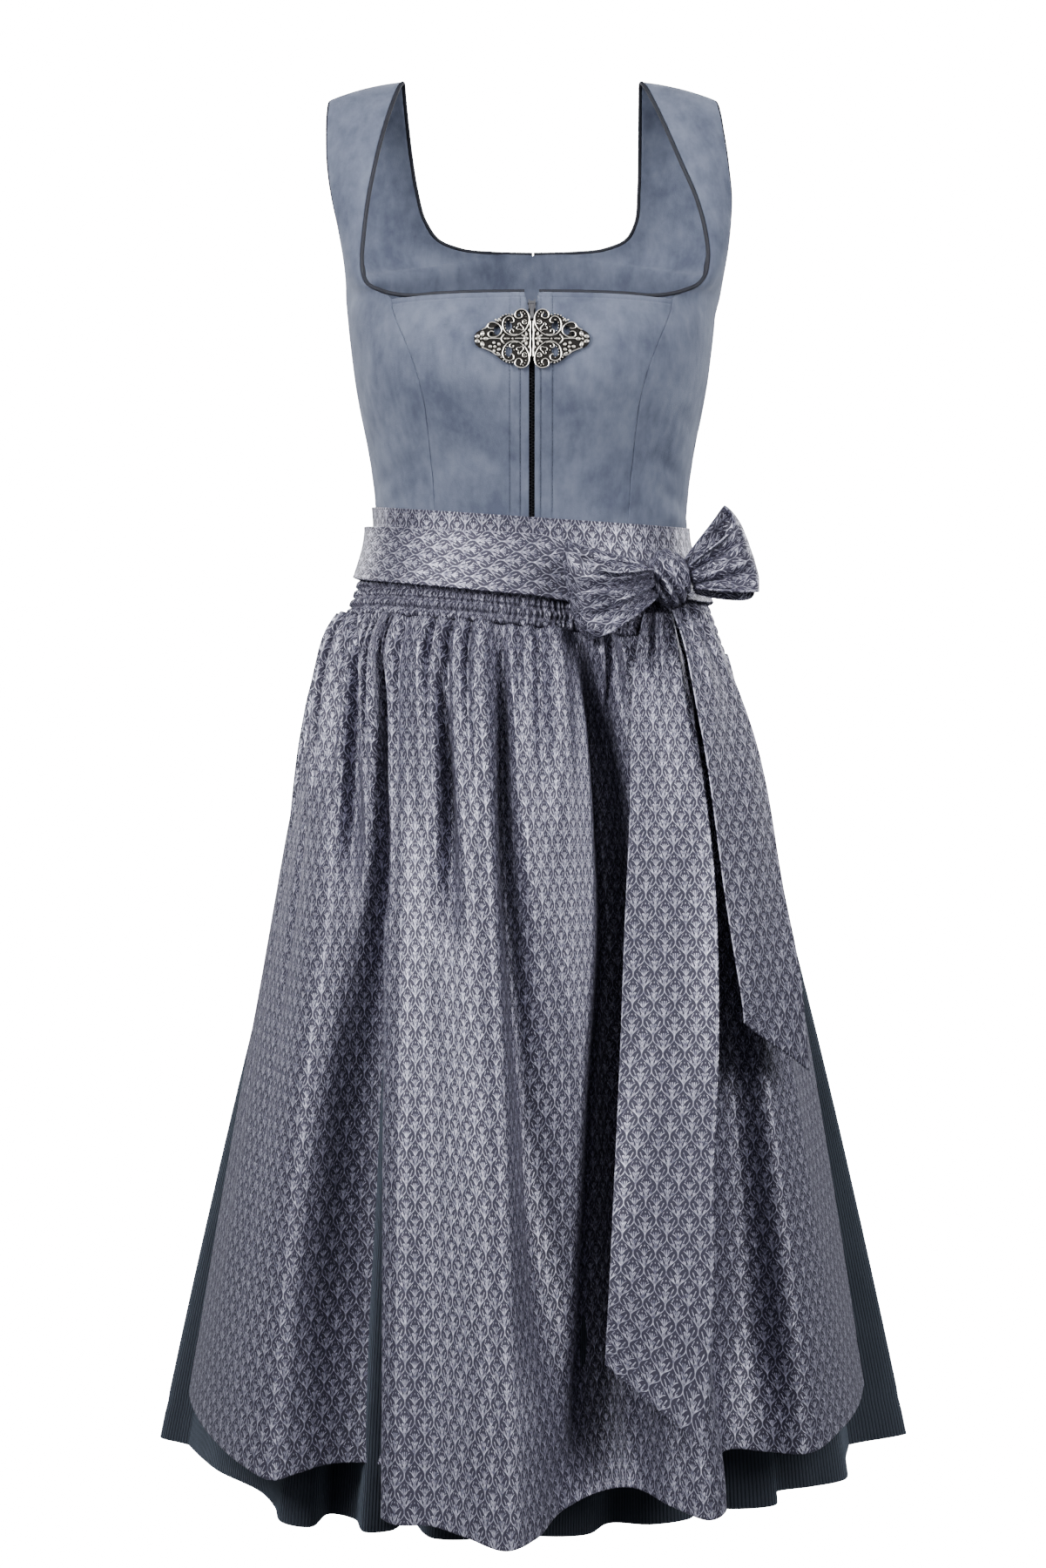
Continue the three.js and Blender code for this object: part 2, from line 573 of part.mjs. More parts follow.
/** Crests and hollows of the back of the skirt, unevenly spaced. */
function backFolds() {
  const first = SKIRT_FRONT_FOLDS.at(-1);
  const last = SKIRT_FRONT_FOLDS[0];
  const from = Math.atan2(first.x, first.depth + SKIRT_BACK.middle) / DEGREE;
  const to = 360 + Math.atan2(last.x, last.depth + SKIRT_BACK.middle) / DEGREE;
  const halves = 2 * SKIRT_BACK.folds;
  const rows = range(halves).map((share, i) => {
    const uneven = SKIRT_BACK.wander * Math.sin(2.4 * i) * (i > 0 && i < halves ? 1 : 0);
    const angle = mix(from, to, (i + uneven) / halves) * DEGREE;
    const crest = (i % 2 ? 1 : -1) * SKIRT_BACK.crest * (0.8 + 0.3 * Math.sin(1.7 * i));
    const x = (SKIRT_BACK.half + crest) * Math.sin(angle);
    const depth = (SKIRT_BACK.reach + crest) * Math.cos(angle) - SKIRT_BACK.middle;
    return { x, depth, top: mix(first.top, 360 + last.top, share) };
  });
  const gap = SEAM_GAP;
  rows[0] = { ...first, depth: first.depth - gap, top: first.top + gap / 2 };
  rows[halves] = { ...last, depth: last.depth - gap, top: 360 + last.top - gap / 2 };
  return rows;
}

const SKIRT_GATHERS = { count: 28, depth: 2.4, full: 0.01, gone: 0.3 };
const SKIRT_HEIGHTS = [0, 0.06, 0.16, 0.3, 0.48, 0.72, 1];

const skirtPanel = (folds) =>
  hanging({
    folds,
    columns: 56,
    heights: SKIRT_HEIGHTS,
    topZ: WAIST_Z - SEAM_GAP,
    off: -2.4,
    slant: level,
    gathers: SKIRT_GATHERS,
    thickness: CORDUROY,
  });

/** A band round the figure: its table gives upper and lower edge and how far it stands off. */
function band(table, columns, rows) {
  const [from, to] = [table[0].angle, table.at(-1).angle];
  return rows.map((v) =>
    range(columns).map((u) => {
      const section = rowAt(table, "angle", mix(from, to, u));
      const z = mix(section.top, section.bottom, v);
      return figureAt(section.angle * DEGREE, z, section.off);
    }),
  );
}

// ---- Bow -----------------------------------------------------------------------------------------------------------
/** A tail of the bow from its table of edges, slightly dished across. */
function tail(table, columns, steps) {
  const rows = numbered(table);
  return range(steps).map((share) => {
    const row = rowAt(rows, "share", share);
    const left = point(row.leftX, -row.leftDepth, row.leftZ);
    const right = point(row.rightX, -row.rightDepth, row.rightZ);
    return range(columns).map((u) => {
      const p = left.clone().lerp(right, u);
      p.y -= 3 * Math.sin(Math.PI * u) * (1 - 0.4 * share);
      return p;
    });
  });
}

/** A loop of the bow: the ribbon leaves the knot in front, turns at the far end and comes back behind. */
function loop({ root, far, across, bulge, tip }) {
  const start = point(root.x, root.y, root.z);
  const along = point(far.x, far.y, far.z).sub(start);
  const width = point(across.x, across.y, across.z).normalize();
  const out = width.clone().cross(along).normalize();
  if (out.y > 0) out.negate();
  return range(16).map((share) => {
    const q = 1 - Math.abs(2 * share - 1);
    const side = share < 0.5 ? 1 : -1;
    const ribbon = mix(LOOP_ROOT_WIDTH, tip, THREE.MathUtils.smoothstep(q, -0.2, 0.9));
    const fullness = side > 0 ? bulge : bulge / 3;
    const stand = side * (3 * (1 - q) + fullness * Math.sin(Math.PI * q ** 0.8));
    return range(6).map((u) => {
      const crease = 2 * (1 - q) * Math.cos(4 * Math.PI * u);
      const hollow = -3 * Math.sin(Math.PI * u) * q;
      return start
        .clone()
        .addScaledVector(along, Math.sin((q * Math.PI) / 2) + hollow / 100)
        .addScaledVector(width, (0.5 - u) * ribbon)
        .addScaledVector(out, stand + side * crease);
    });
  });
}

/** The knot: a leaning egg with the wrapped cloth's folds running over it. */
function knot() {
  const egg = new THREE.SphereGeometry(0.5, 16, 10);
  const p = egg.getAttribute("position");
  for (let i = 0; i < p.count; i++) {
    const v = new THREE.Vector3().fromBufferAttribute(p, i);
    const folds = 1 + (KNOT.groove / KNOT.width) * Math.cos(2 * Math.PI * KNOT.grooves * v.x);
    p.setXYZ(i, v.x * KNOT.width, v.z * KNOT.depth * folds, v.y * KNOT.height * folds);
  }
  egg.deleteAttribute("normal");
  egg.deleteAttribute("uv");
  return facingOut(egg);
}

// ---- Smocked yoke --------------------------------------------------------------------------------------------------
/** Outer face in tucks held by rows of stitching, over a plain inner face. */
function smockedYoke() {
  const columns = 2 * SMOCKING.tucks;
  const rows = 2 * SMOCKING.rows;
  const [from, to] = [APRON_FOLDS[0].top - 1, APRON_FOLDS.at(-1).top + 1];
  const grid = (offAt) =>
    range(rows).map((v, i) =>
      range(columns).map((u, j) => {
        const z = mix(YOKE_TOP_Z - SEAM_GAP, YOKE_FOOT_Z, v);
        const angle = mix(from, to, u) * DEGREE;
        return figureAt(angle, z + slanting(figureAt(angle, z)), offAt(i, j));
      }),
    );
  const tuck = (i, j) => (j % 2) * (0.35 + 0.65 * (i % 2));
  const outer = grid((i, j) => SMOCKING.base + SMOCKING.relief * tuck(i, j));
  const inner = [grid(() => SMOCKING.inside).at(0), grid(() => SMOCKING.inside).at(-1)];
  return between(outer, inner);
}

/** The apron's waistband, from its slanting upper edge to the yoke. */
function waistband() {
  const [from, to] = [APRON_FOLDS[0].top - 1, APRON_FOLDS.at(-1).top + 3];
  return [0, 0.5, 1].map((v) =>
    range(32).map((u) => {
      const angle = mix(from, to, u) * DEGREE;
      const foot = figureAt(angle, YOKE_TOP_Z, 0);
      const rim = -330.5 - 0.062 * foot.x + 0.096 * foot.y;
      return figureAt(angle, mix(rim, YOKE_TOP_Z + slanting(foot), v), 3.2 + 0.6 * v);
    }),
  );
}

// ---- Zip and clasp -------------------------------------------------------------------------------------------------
/** Tape behind the front edges with the closed coil standing up between them. */
function zip() {
  const heights = [ZIP.top, ...FRONT_ROWS];
  const behind = ZIP.lean * VELVET + SEAM_GAP;
  const profile = [
    [-ZIP.tape, behind],
    [-ZIP.coil, behind],
    [-ZIP.coil, 0.2],
    [ZIP.coil, 0.2],
    [ZIP.coil, behind],
    [ZIP.tape, behind],
  ];
  const outer = heights.map((z) => profile.map(([x, deep]) => frontAt(x, z).add(point(0, deep, 0))));
  const inner = outer.map((row, i) =>
    row.map((p) => point(p.x, frontAt(p.x, heights[i]).y + behind + 1, p.z)),
  );
  return between(outer, inner);
}

/** The slider: a channel over the coil whose two ears carry the pull tab. Its back lies at y 0. */
function slider() {
  const { half, ear, base, rise } = SLIDER;
  const section = new THREE.Shape(
    [
      [-half, 0],
      [half, 0],
      [half, base + rise],
      [half - ear, base + rise],
      [half - ear, base],
      [ear - half, base],
      [ear - half, base + rise],
      [-half, base + rise],
    ].map(([x, y]) => new THREE.Vector2(x, -y)),
  );
  const channel = new THREE.ExtrudeGeometry(section, { depth: SLIDER.top - SLIDER.bottom, bevelEnabled: false });
  return channel.translate(0, 0, SLIDER.bottom);
}

/** The pull tab, hanging from its eye at the origin. */
function pullTab() {
  const { half, length, thick, eye } = PULL;
  const profile = new THREE.Shape();
  profile.absarc(0, 0, eye, -0.2 * Math.PI, 1.2 * Math.PI);
  profile.lineTo(-thick / 2, -length + thick);
  profile.lineTo(-thick / 4, -length);
  profile.lineTo(thick / 4, -length);
  profile.lineTo(thick / 2, -length + thick);
  const tab = new THREE.ExtrudeGeometry(profile, { depth: 2 * half, bevelEnabled: false, curveSegments: 8 });
  // The profile's x turns to y, its y to z, and its depth to x.
  tab.applyMatrix4(new THREE.Matrix4().makeBasis(point(0, 1, 0), point(0, 0, 1), point(1, 0, 0)));
  return tab.translate(-half, 0, 0);
}

/** One half of the clasp, for the wearer's left: an openwork plate with a notch above its hooking edge. */
function claspHalf(isLeft) {
  const outlinePoints = [
    [CLASP.gap, 10.5],
    [CLASP.notch, 12],
    [CLASP.notch, 16],
    [3.7, 20.8],
    [8, 22.6],
    [12.6, 21],
    [14, 18.6],
    [19, 19.2],
    [24, 16.8],
    [28, 14],
    [32, 12],
    [34, 9.2],
    [38.5, 6.8],
    [41.6, 4.6],
    [42.8, 0],
  ];
  const shape = new THREE.Shape();
  const lower = outlinePoints.slice(0, -1).reverse();
  shape.setFromPoints([
    ...outlinePoints.map(([x, z]) => new THREE.Vector2(x, z)),
    ...lower.map(([x, z]) => new THREE.Vector2(x, -z)),
  ]);
  const openings = [
    [9.5, 13, 3.2, 3.6],
    [18.5, 10.4, 3, 3.4],
    [9.5, -13, 3.2, 3.6],
    [18.5, -10.4, 3, 3.4],
    [28.4, 5.4, 2.8, 2.6],
  ];
  for (const [x, z, wide, high] of openings) {
    const turns = range(8).slice(1).map((t) => 2 * Math.PI * t);
    const rim = turns.map((a) => new THREE.Vector2(x + wide * Math.cos(a), z + high * Math.sin(a)));
    shape.holes.push(new THREE.Path().setFromPoints(rim));
  }
  const plate = new THREE.ExtrudeGeometry(shape, {
    depth: CLASP.thick,
    bevelEnabled: false,
    curveSegments: 4,
  });
  plate.rotateX(Math.PI / 2); // the plate's front faces -Y
  if (!isLeft) plate.rotateZ(Math.PI);
  if (!isLeft) plate.translate(0, -CLASP.thick, 0);
  return plate;
}

/** Where the leaning plane of the clasp just clears the bodice. */
function claspSeat() {
  const rise = Math.tan(CLASP.lean * DEGREE);
  const reach = [-22, -11, 0, 11, 22].flatMap((up) =>
    [0, 14, 28, 42].map((x) => frontAt(x, CLASP.z + up).y - up * rise),
  );
  return Math.min(...reach) - CLASP.off;
}

// ---- The object ----------------------------------------------------------------------------------------------------
const finish = (color, roughness, metalness = 0) =>
  new THREE.MeshStandardMaterial({ color, roughness, metalness });
const VELVET_FINISH = finish(0x56647c, 0.85);
const CORDUROY_FINISH = finish(0x3d4756, 0.9);
const JACQUARD_FINISH = finish(0x67687a, 0.5);
const PIPING_FINISH = finish(0x35363f, 0.7);
const SILVER_FINISH = finish(0x8f8b84, 0.4, 1);
const TAPE_FINISH = finish(0x23252c, 0.8);

const dress = new THREE.Group();

function add(name, geometry, material) {
  const mesh = new THREE.Mesh(geometry, material);
  mesh.name = name;
  dress.add(mesh);
  return mesh;
}

/** A geometry of the wearer's left put on either side, with the lean of the shoulders. */
function placed(geometry, sign) {
  const copy = geometry.clone().scale(sign, 1, 1);
  const p = copy.getAttribute("position");
  for (const i of Array(p.count).keys()) {
    p.setX(i, p.getX(i) + lean(p.getZ(i)));
  }
  return facingOut(copy);
}

function addBodice() {
  const sides = { left: sideFront(), right: mirrored(sideFront()) };
  const backs = { left: back(), right: mirrored(back()) };
  for (const side of ["left", "right"]) {
    const sign = side === "left" ? 1 : -1;
    const flank = leaned(side === "left" ? sideBack() : mirrored(sideBack()));
    add(`bodice_front_${side}`, wall(centreFront(sign), VELVET), VELVET_FINISH);
    add(`bodice_side_front_${side}`, wall(leaned(sides[side]), VELVET), VELVET_FINISH);
    add(`bodice_back_${side}`, wall(leaned(backs[side]), VELVET), VELVET_FINISH);
    add(`bodice_side_back_${side}`, wall(flank, VELVET), VELVET_FINISH);
  }
  const neck = neckPiping(centreFront(1), sides.left, backs.left);
  const armhole = armholePiping(sides.left, sideBack(), backs.left);
  for (const [side, sign] of [["left", 1], ["right", -1]]) {
    add(`neck_piping_${side}`, placed(neck, sign), PIPING_FINISH);
    add(`armhole_piping_${side}`, placed(armhole, sign), PIPING_FINISH);
  }
}

function addSkirt() {
  add("skirt_front", skirtPanel(SKIRT_FRONT_FOLDS), CORDUROY_FINISH);
  add("skirt_back", skirtPanel(backFolds()), CORDUROY_FINISH);
}

function addApron() {
  const apron = hanging({
    folds: APRON_FOLDS,
    columns: 3 * APRON_GATHERS.count,
    heights: [0, 0.05, 0.13, 0.24, 0.4, 0.6, 0.8, 1],
    topZ: YOKE_FOOT_Z - SEAM_GAP,
    off: 4,
    slant: slanting,
    gathers: APRON_GATHERS,
    thickness: JACQUARD,
  });
  add("apron_skirt", apron, JACQUARD_FINISH);
  add("apron_yoke", smockedYoke(), JACQUARD_FINISH);
  add("apron_waistband", wall(waistband(), JACQUARD), JACQUARD_FINISH);
  add("tie_left", wall(band(TIE_LEFT, 34, [0, 0.5, 1]), TIE_CLOTH), JACQUARD_FINISH);
  add("tie_right", wall(band(TIE_RIGHT, 26, [0, 0.5, 1]), TIE_CLOTH), JACQUARD_FINISH);
}

function addBow() {
  const middle = add("bow_knot", knot(), JACQUARD_FINISH);
  middle.position.set(KNOT.x, KNOT.y, KNOT.z);
  middle.rotation.set(0, KNOT.lean * DEGREE, 0);
  add("bow_tail_long", wall(tail(LONG_TAIL, 6, 16), TIE_CLOTH), JACQUARD_FINISH);
  add("bow_tail_short", wall(tail(SHORT_TAIL, 6, 12), TIE_CLOTH), JACQUARD_FINISH);
  for (const [name, sizes] of Object.entries(LOOPS)) {
    add(name, wall(loop(sizes), TIE_CLOTH), JACQUARD_FINISH);
  }
}

function addFastenings() {
  add("zip", zip(), TAPE_FINISH);
  const [above, below] = [SLIDER.top, SLIDER.bottom].map((up) => frontAt(0, SLIDER.z + up).y);
  const slope = Math.atan2(above - below, SLIDER.top - SLIDER.bottom);
  const runner = new THREE.Group();
  runner.position.set(0, frontAt(0, SLIDER.z).y - SEAM_GAP, SLIDER.z);
  runner.rotation.x = -slope;
  const tab = new THREE.Mesh(pullTab(), SILVER_FINISH);
  tab.name = "zip_pull";
  tab.position.y = -SLIDER.base - PULL.stand;
  const channel = new THREE.Mesh(slider(), SILVER_FINISH);
  channel.name = "zip_slider";
  runner.add(channel, tab);
  dress.add(runner);
  for (const side of ["left", "right"]) {
    const half = add(`clasp_${side}`, claspHalf(side === "left"), SILVER_FINISH);
    half.position.set(0, claspSeat(), CLASP.z);
    half.rotation.x = -CLASP.lean * DEGREE;
  }
}

addBodice();
addSkirt();
addApron();
addBow();
addFastenings();

export default dress;
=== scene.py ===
"""A sleeveless velvet dirndl: its cloth, piping, smocking, bow, zip and filigree clasp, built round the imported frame.

Lengths are millimetres in the frame's own axes: +Z up, the front faces -Y and +X is the wearer's left.
"""
import math

import bpy
import numpy as np
from bpy.props import FloatProperty, FloatVectorProperty, PointerProperty
from mathutils import Matrix, Vector


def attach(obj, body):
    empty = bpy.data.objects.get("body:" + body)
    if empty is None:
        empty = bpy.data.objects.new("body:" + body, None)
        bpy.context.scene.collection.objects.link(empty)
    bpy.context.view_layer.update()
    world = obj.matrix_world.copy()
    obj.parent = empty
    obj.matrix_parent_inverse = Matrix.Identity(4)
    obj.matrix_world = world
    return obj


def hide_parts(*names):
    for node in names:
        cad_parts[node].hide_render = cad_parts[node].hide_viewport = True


bl_info = {
    "name": "Velvet dirndl",
    "version": (1, 0, 0),
    "blender": (4, 5, 0),
    "location": "3D View > Sidebar > Dirndl",
    "description": "Sews a velvet dirndl with a corduroy skirt and a jacquard apron round its packed frame",
    "category": "Object",
}

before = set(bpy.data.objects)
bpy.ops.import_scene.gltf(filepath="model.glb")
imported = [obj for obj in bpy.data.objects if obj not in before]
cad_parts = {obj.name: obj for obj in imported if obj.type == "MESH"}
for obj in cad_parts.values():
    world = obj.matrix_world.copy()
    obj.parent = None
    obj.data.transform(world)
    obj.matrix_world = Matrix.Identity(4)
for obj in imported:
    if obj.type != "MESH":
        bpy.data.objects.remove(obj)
MM = 0.001

# ---- Sizes ---------------------------------------------------------------------------------------------------------
SEAM_GAP = 0.04
VELVET = 2.4
CORDUROY = 1.8
JACQUARD = 1.5
TIE_CLOTH = 1.6
WAIST_Z = -345
NECKLINE_Z = -176
ARMHOLE_Z = -182
HIP_Z = -448
YOKE_TOP_Z = -386
YOKE_FOOT_Z = -423
SKIRT_HEM_Z = -1065
TURNED = 0.42  # radius of a turned cloth edge, in thicknesses


def table(columns, *rows):
    """Named columns of numbers."""
    return dict(zip(columns.split(), np.array(rows, float).T))


# Outer face of bodice and hip: half the width, reach to front and back, squareness of the outline.
FIGURE = table(
    "z half front back shape",
    (-138, 144, 92, 89, 2.3),
    (-176, 143, 112, 95, 2.35),
    (-205, 140, 125, 96, 2.35),
    (-235, 136, 129, 92, 2.3),
    (-265, 130, 121, 85, 2.25),
    (-300, 124, 108, 77, 2.2),
    (-345, 120, 97, 72, 2.2),
    (-385, 131, 103, 88, 2.2),
    (-424, 145, 112, 106, 2.2),
    (-450, 152, 119, 115, 2.2),
)
CUP_X, CUP_Z, CUP_WIDTH, CUP_HEIGHT, CUP_FULLNESS = 62, -226, 34, 42, 5
FRONT_SEAM = table("z x", (-176, 105), (-190, 102), (-210, 94), (-235, 85), (-260, 79), (-300, 75), (-345, 72))
BACK_SEAM = table("z x", (-138, 134), (-152, 125), (-172, 111), (-200, 94), (-240, 76), (-290, 61), (-345, 50))
FRONT_ROWS = np.array([-186, -198, -212, -228, -246, -268, -300, WAIST_Z], float)
BACK_ROWS = np.array([-152, -172, -195, -220, -246, -268, -300, WAIST_Z], float)

# Shoulder straps: neck edge, arm edge and the arch between them.
STRAP_COLUMNS = "neck_x neck_y neck_z arm_x arm_y arm_z arch"
FRONT_STRAP = table(
    STRAP_COLUMNS,
    (116, -74, -168.5, 144.5, -18, -163, 5),
    (125, -67, -163, 145, -27, -154, 4.5),
    (130.5, -61, -154, 146, -34, -144, 4),
    (132.5, -58, -140, 148, -37, -130, 3.5),
    (131, -56, -120, 150.5, -37, -112, 3),
    (126, -53, -93, 153.5, -34, -88, 3),
    (117.5, -46, -63, 154.3, -28, -62, 3),
    (109, -35, -34, 153.5, -20, -37, 3),
    (101.5, -21, -10, 152, -12, -17, 2.5),
    (96.5, -9, 4.5, 150.8, -4, -7, 2),
    (94.5, -2.5, 8.9, 150.2, 0, -4.4, 2),
    (94, 3.5, 9.5, 150, 3.5, -4, 2),
)
BACK_STRAP = table(
    STRAP_COLUMNS,
    (0.02, 92, -107, 134, 40, -138, 14),
    (32, 90.5, -106.5, 135.5, 47, -131, 10),
    (60, 86, -104, 137, 52, -123, 6),
    (78, 79, -97, 139.5, 56, -113, 4),
    (86.5, 71, -84, 142.5, 57, -97, 3),
    (90.5, 60, -62, 146, 52, -72, 3),
    (92.5, 46, -36, 148.5, 42, -46, 3),
    (93.6, 29, -11, 149.6, 28, -24, 2.5),
    (94, 16, 3.5, 150, 15, -10, 2),
    (94, 9, 8.6, 150, 8.5, -5, 2),
    (94, 3.9, 9.5, 150, 3.9, -4, 2),
)
LEAN = table("z x", (-176, 0), (-150, 2.2), (-125, 2.6), (-95, 0.8), (-63, -2.6), (-30, -5.2), (12, -7.4))

# Hems: place of each fold's crest and hollow, depth counted to the front, and the angle where the fold starts.
SKIRT_FRONT_FOLDS = table(
    "x depth top",
    (-274, -44, -96),
    (-258, -4, -89),
    (-240, 34, -82),
    (-203, 88, -72),
    (-188, 128, -65),
    (-178, 168, -58),
    (-157, 178, -51),
    (-146, 146, -45),
    (-128, 158, -39),
    (-118, 190, -33),
    (-99, 186, -27),
    (-88, 160, -21),
    (-70, 204, -14),
    (-40, 205, -7),
    (-24, 178, 0),
    (0, 198, 7),
    (38, 196, 15),
    (56, 168, 22),
    (84, 172, 29),
    (113, 158, 36),
    (124, 128, 43),
    (146, 134, 49),
    (178, 124, 56),
    (182, 90, 62),
    (210, 76, 69),
    (238, 56, 77),
    (243, 14, 84),
    (254, -44, 92),
)
BACK_FOLDS, BACK_HALF, BACK_REACH, BACK_MIDDLE, BACK_CREST, BACK_WANDER = 15, 294, 262, 40, 13, 0.32
APRON_FOLDS = table(
    "x depth z top",
    (-271, -40, -1011, -97),
    (-263, 26, -1012, -88),
    (-240, 108, -1015, -78),
    (-206, 182, -1020, -68),
    (-181, 212, -1023, -61),
    (-161, 206, -1020, -55),
    (-140, 200, -1017, -50),
    (-113, 208, -1017, -44),
    (-98, 219, -1020, -42),
    (-107, 246, -1033, -40),
    (-93, 270, -1036, -35),
    (-69, 273, -1036, -28),
    (-46, 284, -1040, -21),
    (-17, 300, -1045, -13),
    (7, 286, -1040, -5),
    (28, 254, -1030, 3),
    (66, 236, -1022, 14),
    (95, 258, -1028, 22),
    (119, 264, -1035, 30),
    (135, 245, -1033, 36),
    (131, 208, -1024, 40),
    (139, 172, -1013, 46),
    (168, 171, -1015, 53),
    (197, 170, -1015, 60),
    (228, 118, -1010, 68),
    (247, 62, -1008, 76),
    (259, 6, -1005, 84),
)
# Main hollows of the apron: where each one runs, the width of its two sides and how deep it is.
HOLLOW_COLUMNS = "z x left right depth"
HOLLOWS = (
    table(
        HOLLOW_COLUMNS,
        (-428, -130, 3, 3, 5),
        (-446, -131, 4, 4, 10),
        (-500, -133.5, 5, 6, 17),
        (-560, -135, 7, 9, 17),
        (-630, -137, 10, 12, 0),
    ),
    table(
        HOLLOW_COLUMNS,
        (-436, -108, 3, 3, 0),
        (-480, -106, 4, 2.6, 12),
        (-540, -107, 6, 2.6, 22),
        (-600, -107.4, 9, 2.6, 28),
        (-690, -110, 18, 2.6, 36),
        (-777, -111, 30, 2.6, 44),
        (-900, -110.5, 44, 3, 40),
        (-1030, -109, 52, 3, 22),
    ),
    table(
        HOLLOW_COLUMNS,
        (-440, -66, 3, 3, 0),
        (-470, -65.5, 3, 3, 10),
        (-545, -61, 6, 5, 20),
        (-600, -60, 8, 7, 15),
        (-660, -60, 12, 12, 0),
    ),
    table(
        HOLLOW_COLUMNS,
        (-424, -21.7, 2.5, 2.5, 6),
        (-445, -21.7, 3, 3, 14),
        (-500, -21.5, 3.5, 5, 24),
        (-558, -21, 4, 7, 30),
        (-646, -15.4, 5, 14, 34),
        (-760, -3, 9, 24, 34),
        (-870, 8, 15, 32, 26),
        (-970, 14, 24, 36, 6),
    ),
    table(
        HOLLOW_COLUMNS,
        (-424, 32, 2.5, 5, 10),
        (-452, 38, 3, 8, 30),
        (-500, 45, 3.5, 14, 60),
        (-558, 50, 4, 20, 90),
        (-646, 54, 5, 24, 100),
        (-760, 50, 7, 26, 85),
        (-924, 47, 9, 26, 85),
        (-990, 43, 14, 28, 40),
        (-1030, 40, 20, 34, 8),
    ),
    table(
        HOLLOW_COLUMNS,
        (-560, 130, 9, 10, 0),
        (-620, 139, 14, 14, 14),
        (-767, 150, 22, 18, 24),
        (-940, 159, 28, 20, 24),
        (-1015, 164, 28, 22, 8),
    ),
)
# Cloth length from the top to the hem, depth of the turned hem, and count and depth of the gathers.
SKIRT_LENGTH, SKIRT_TURN_UP, SKIRT_GATHERS, SKIRT_RELIEF = 720, 30, 40, 2.4
APRON_LENGTH, APRON_TURN_UP, APRON_GATHERS, APRON_RELIEF = 590, 35, 38, 15
SKIRT_WIDTH, APRON_WIDTH = 1150, 1180  # about, for the spacing of the turned edges
SKIRT_OFF, APRON_OFF = -2.4, 4  # how far the cloth stands off the hip
SIDE_SEAM_REACH = 14  # how far beside a side seam the skirt starts to gather
SIDE_SEAM_TUCK, SIDE_SEAM_DEPTH = 1, 0.3  # how far the back runs under the front there, and how deep
TUCKS, TUCK_ROWS, TUCK_RELIEF, TUCK_BASE, YOKE_INSIDE = 118, 5, 4.8, 1.3, 0.8
TUCK_POINTS = 6  # grid cells across each tuck and down each row of tucks
YOKE_CLOTH = 1150  # cloth that the tucks take up
YOKE_SLANT = 0.1  # fall of the yoke for each millimetre to the wearer's left
BAND_RIM, BAND_FALL, BAND_RISE = -330.5, 0.062, 0.096  # height of the waistband, its fall to the left, rise to the back
BAND_OFF, BAND_FLARE = 3.2, 0.6

# The tie: upper and lower edge round the body and how far it stands off.
TIE_LEFT = table(
    "angle top bottom off",
    (-178, -347, -387, 7.5),
    (-135, -343, -383, 8.5),
    (-95, -338, -377, 10.5),
    (-60, -343, -384, 9.5),
    (-30, -349, -391, 8.5),
    (0, -353, -399, 9),
    (14, -361, -406, 10),
    (28, -370, -407, 11),
    (38, -376, -402, 12),
)
TIE_RIGHT = table(
    "angle top bottom off",
    (45, -377, -401, 22),
    (58, -373, -401, 14),
    (78, -366, -398, 7),
    (110, -358, -397, 5.6),
    (150, -351, -391, 5),
    (200, -346, -385, 4.6),
)

# Bow: each row of a tail gives its left and right edge.
KNOT_AT, KNOT_SIZE, KNOT_LEAN = (101, -107, -386), (33, 31, 44), -14
TAIL_COLUMNS = "left_x left_depth right_x right_depth left_z right_z"
LONG_TAIL = table(
    TAIL_COLUMNS,
    (84, 99, 104, 98, -411, -411),
    (76, 119, 112, 112, -449, -449),
    (72, 138, 121, 131, -506, -506),
    (69.5, 157, 128, 152, -569, -569),
    (66, 174, 132, 170, -630, -630),
    (61.5, 200, 131, 201, -719, -719),
    (56.5, 222, 125, 227, -806, -806),
    (52, 243, 123, 250, -885, -893),
    (49, 254, 115, 270, -932, -984),
)
SHORT_TAIL = table(
    TAIL_COLUMNS,
    (104, 105.5, 120, 94, -409.4, -403),
    (113, 122, 140, 94, -440, -434),
    (122, 138, 161, 93, -493, -489),
    (130, 153, 176, 101, -551, -548),
    (139, 168, 186, 116, -619, -617),
    (147, 180, 196, 128, -681, -681),
    (150, 184, 202, 134, -707, -746),
)
LOOPS = {
    "bow_loop_right": {
        "root": (86.8, -114, -387), "far": (28, -140, -399), "across": (-15, 0, 70),
        "bulge": 14, "tip": 74, "dip": 25, "belly": 1,
    },
    "bow_loop_left": {
        "root": (117.3, -105, -384), "far": (157, -98, -361), "across": (-21, 4, 61),
        "bulge": 13, "tip": 66, "dip": 16, "belly": 6,
    },
}
LOOP_ROOT_WIDTH = 26
NECK_PIPING, ARMHOLE_PIPING, TUCKED_IN = 1.65, 1.0, 0.45  # radii, and how far a piping sits in the cloth
TOOTH_SIZE, TOOTH_PITCH, TOOTH_SIDE, TOOTH_BACK = (1.25, 1.05, 0.42), 1.2, 0.55, 1.5
ZIP_GAP, ZIP_COIL, ZIP_TAPE, ZIP_TOP, ZIP_NOTCH, ZIP_LEAN = 2, 1.5, 11, -184, 5.4, 1.2


# ---- Curves and grids ----------------------------------------------------------------------------------------------
def mix(a, b, t):
    """The value between a and b at share t."""
    return a + (b - a) * t


def bell(x, at, width):
    """A round bump, 1 high at its middle."""
    return np.exp(-(((x - at) / width) ** 2))


def hermite(t, start, slope_in, end, slope_out):
    """The smooth curve between two values with given slopes, at share t."""
    return (
        (2 * t**3 - 3 * t**2 + 1) * start
        + (t**3 - 2 * t**2 + t) * slope_in
        + (3 * t**2 - 2 * t**3) * end
        + (t**3 - t**2) * slope_out
    )


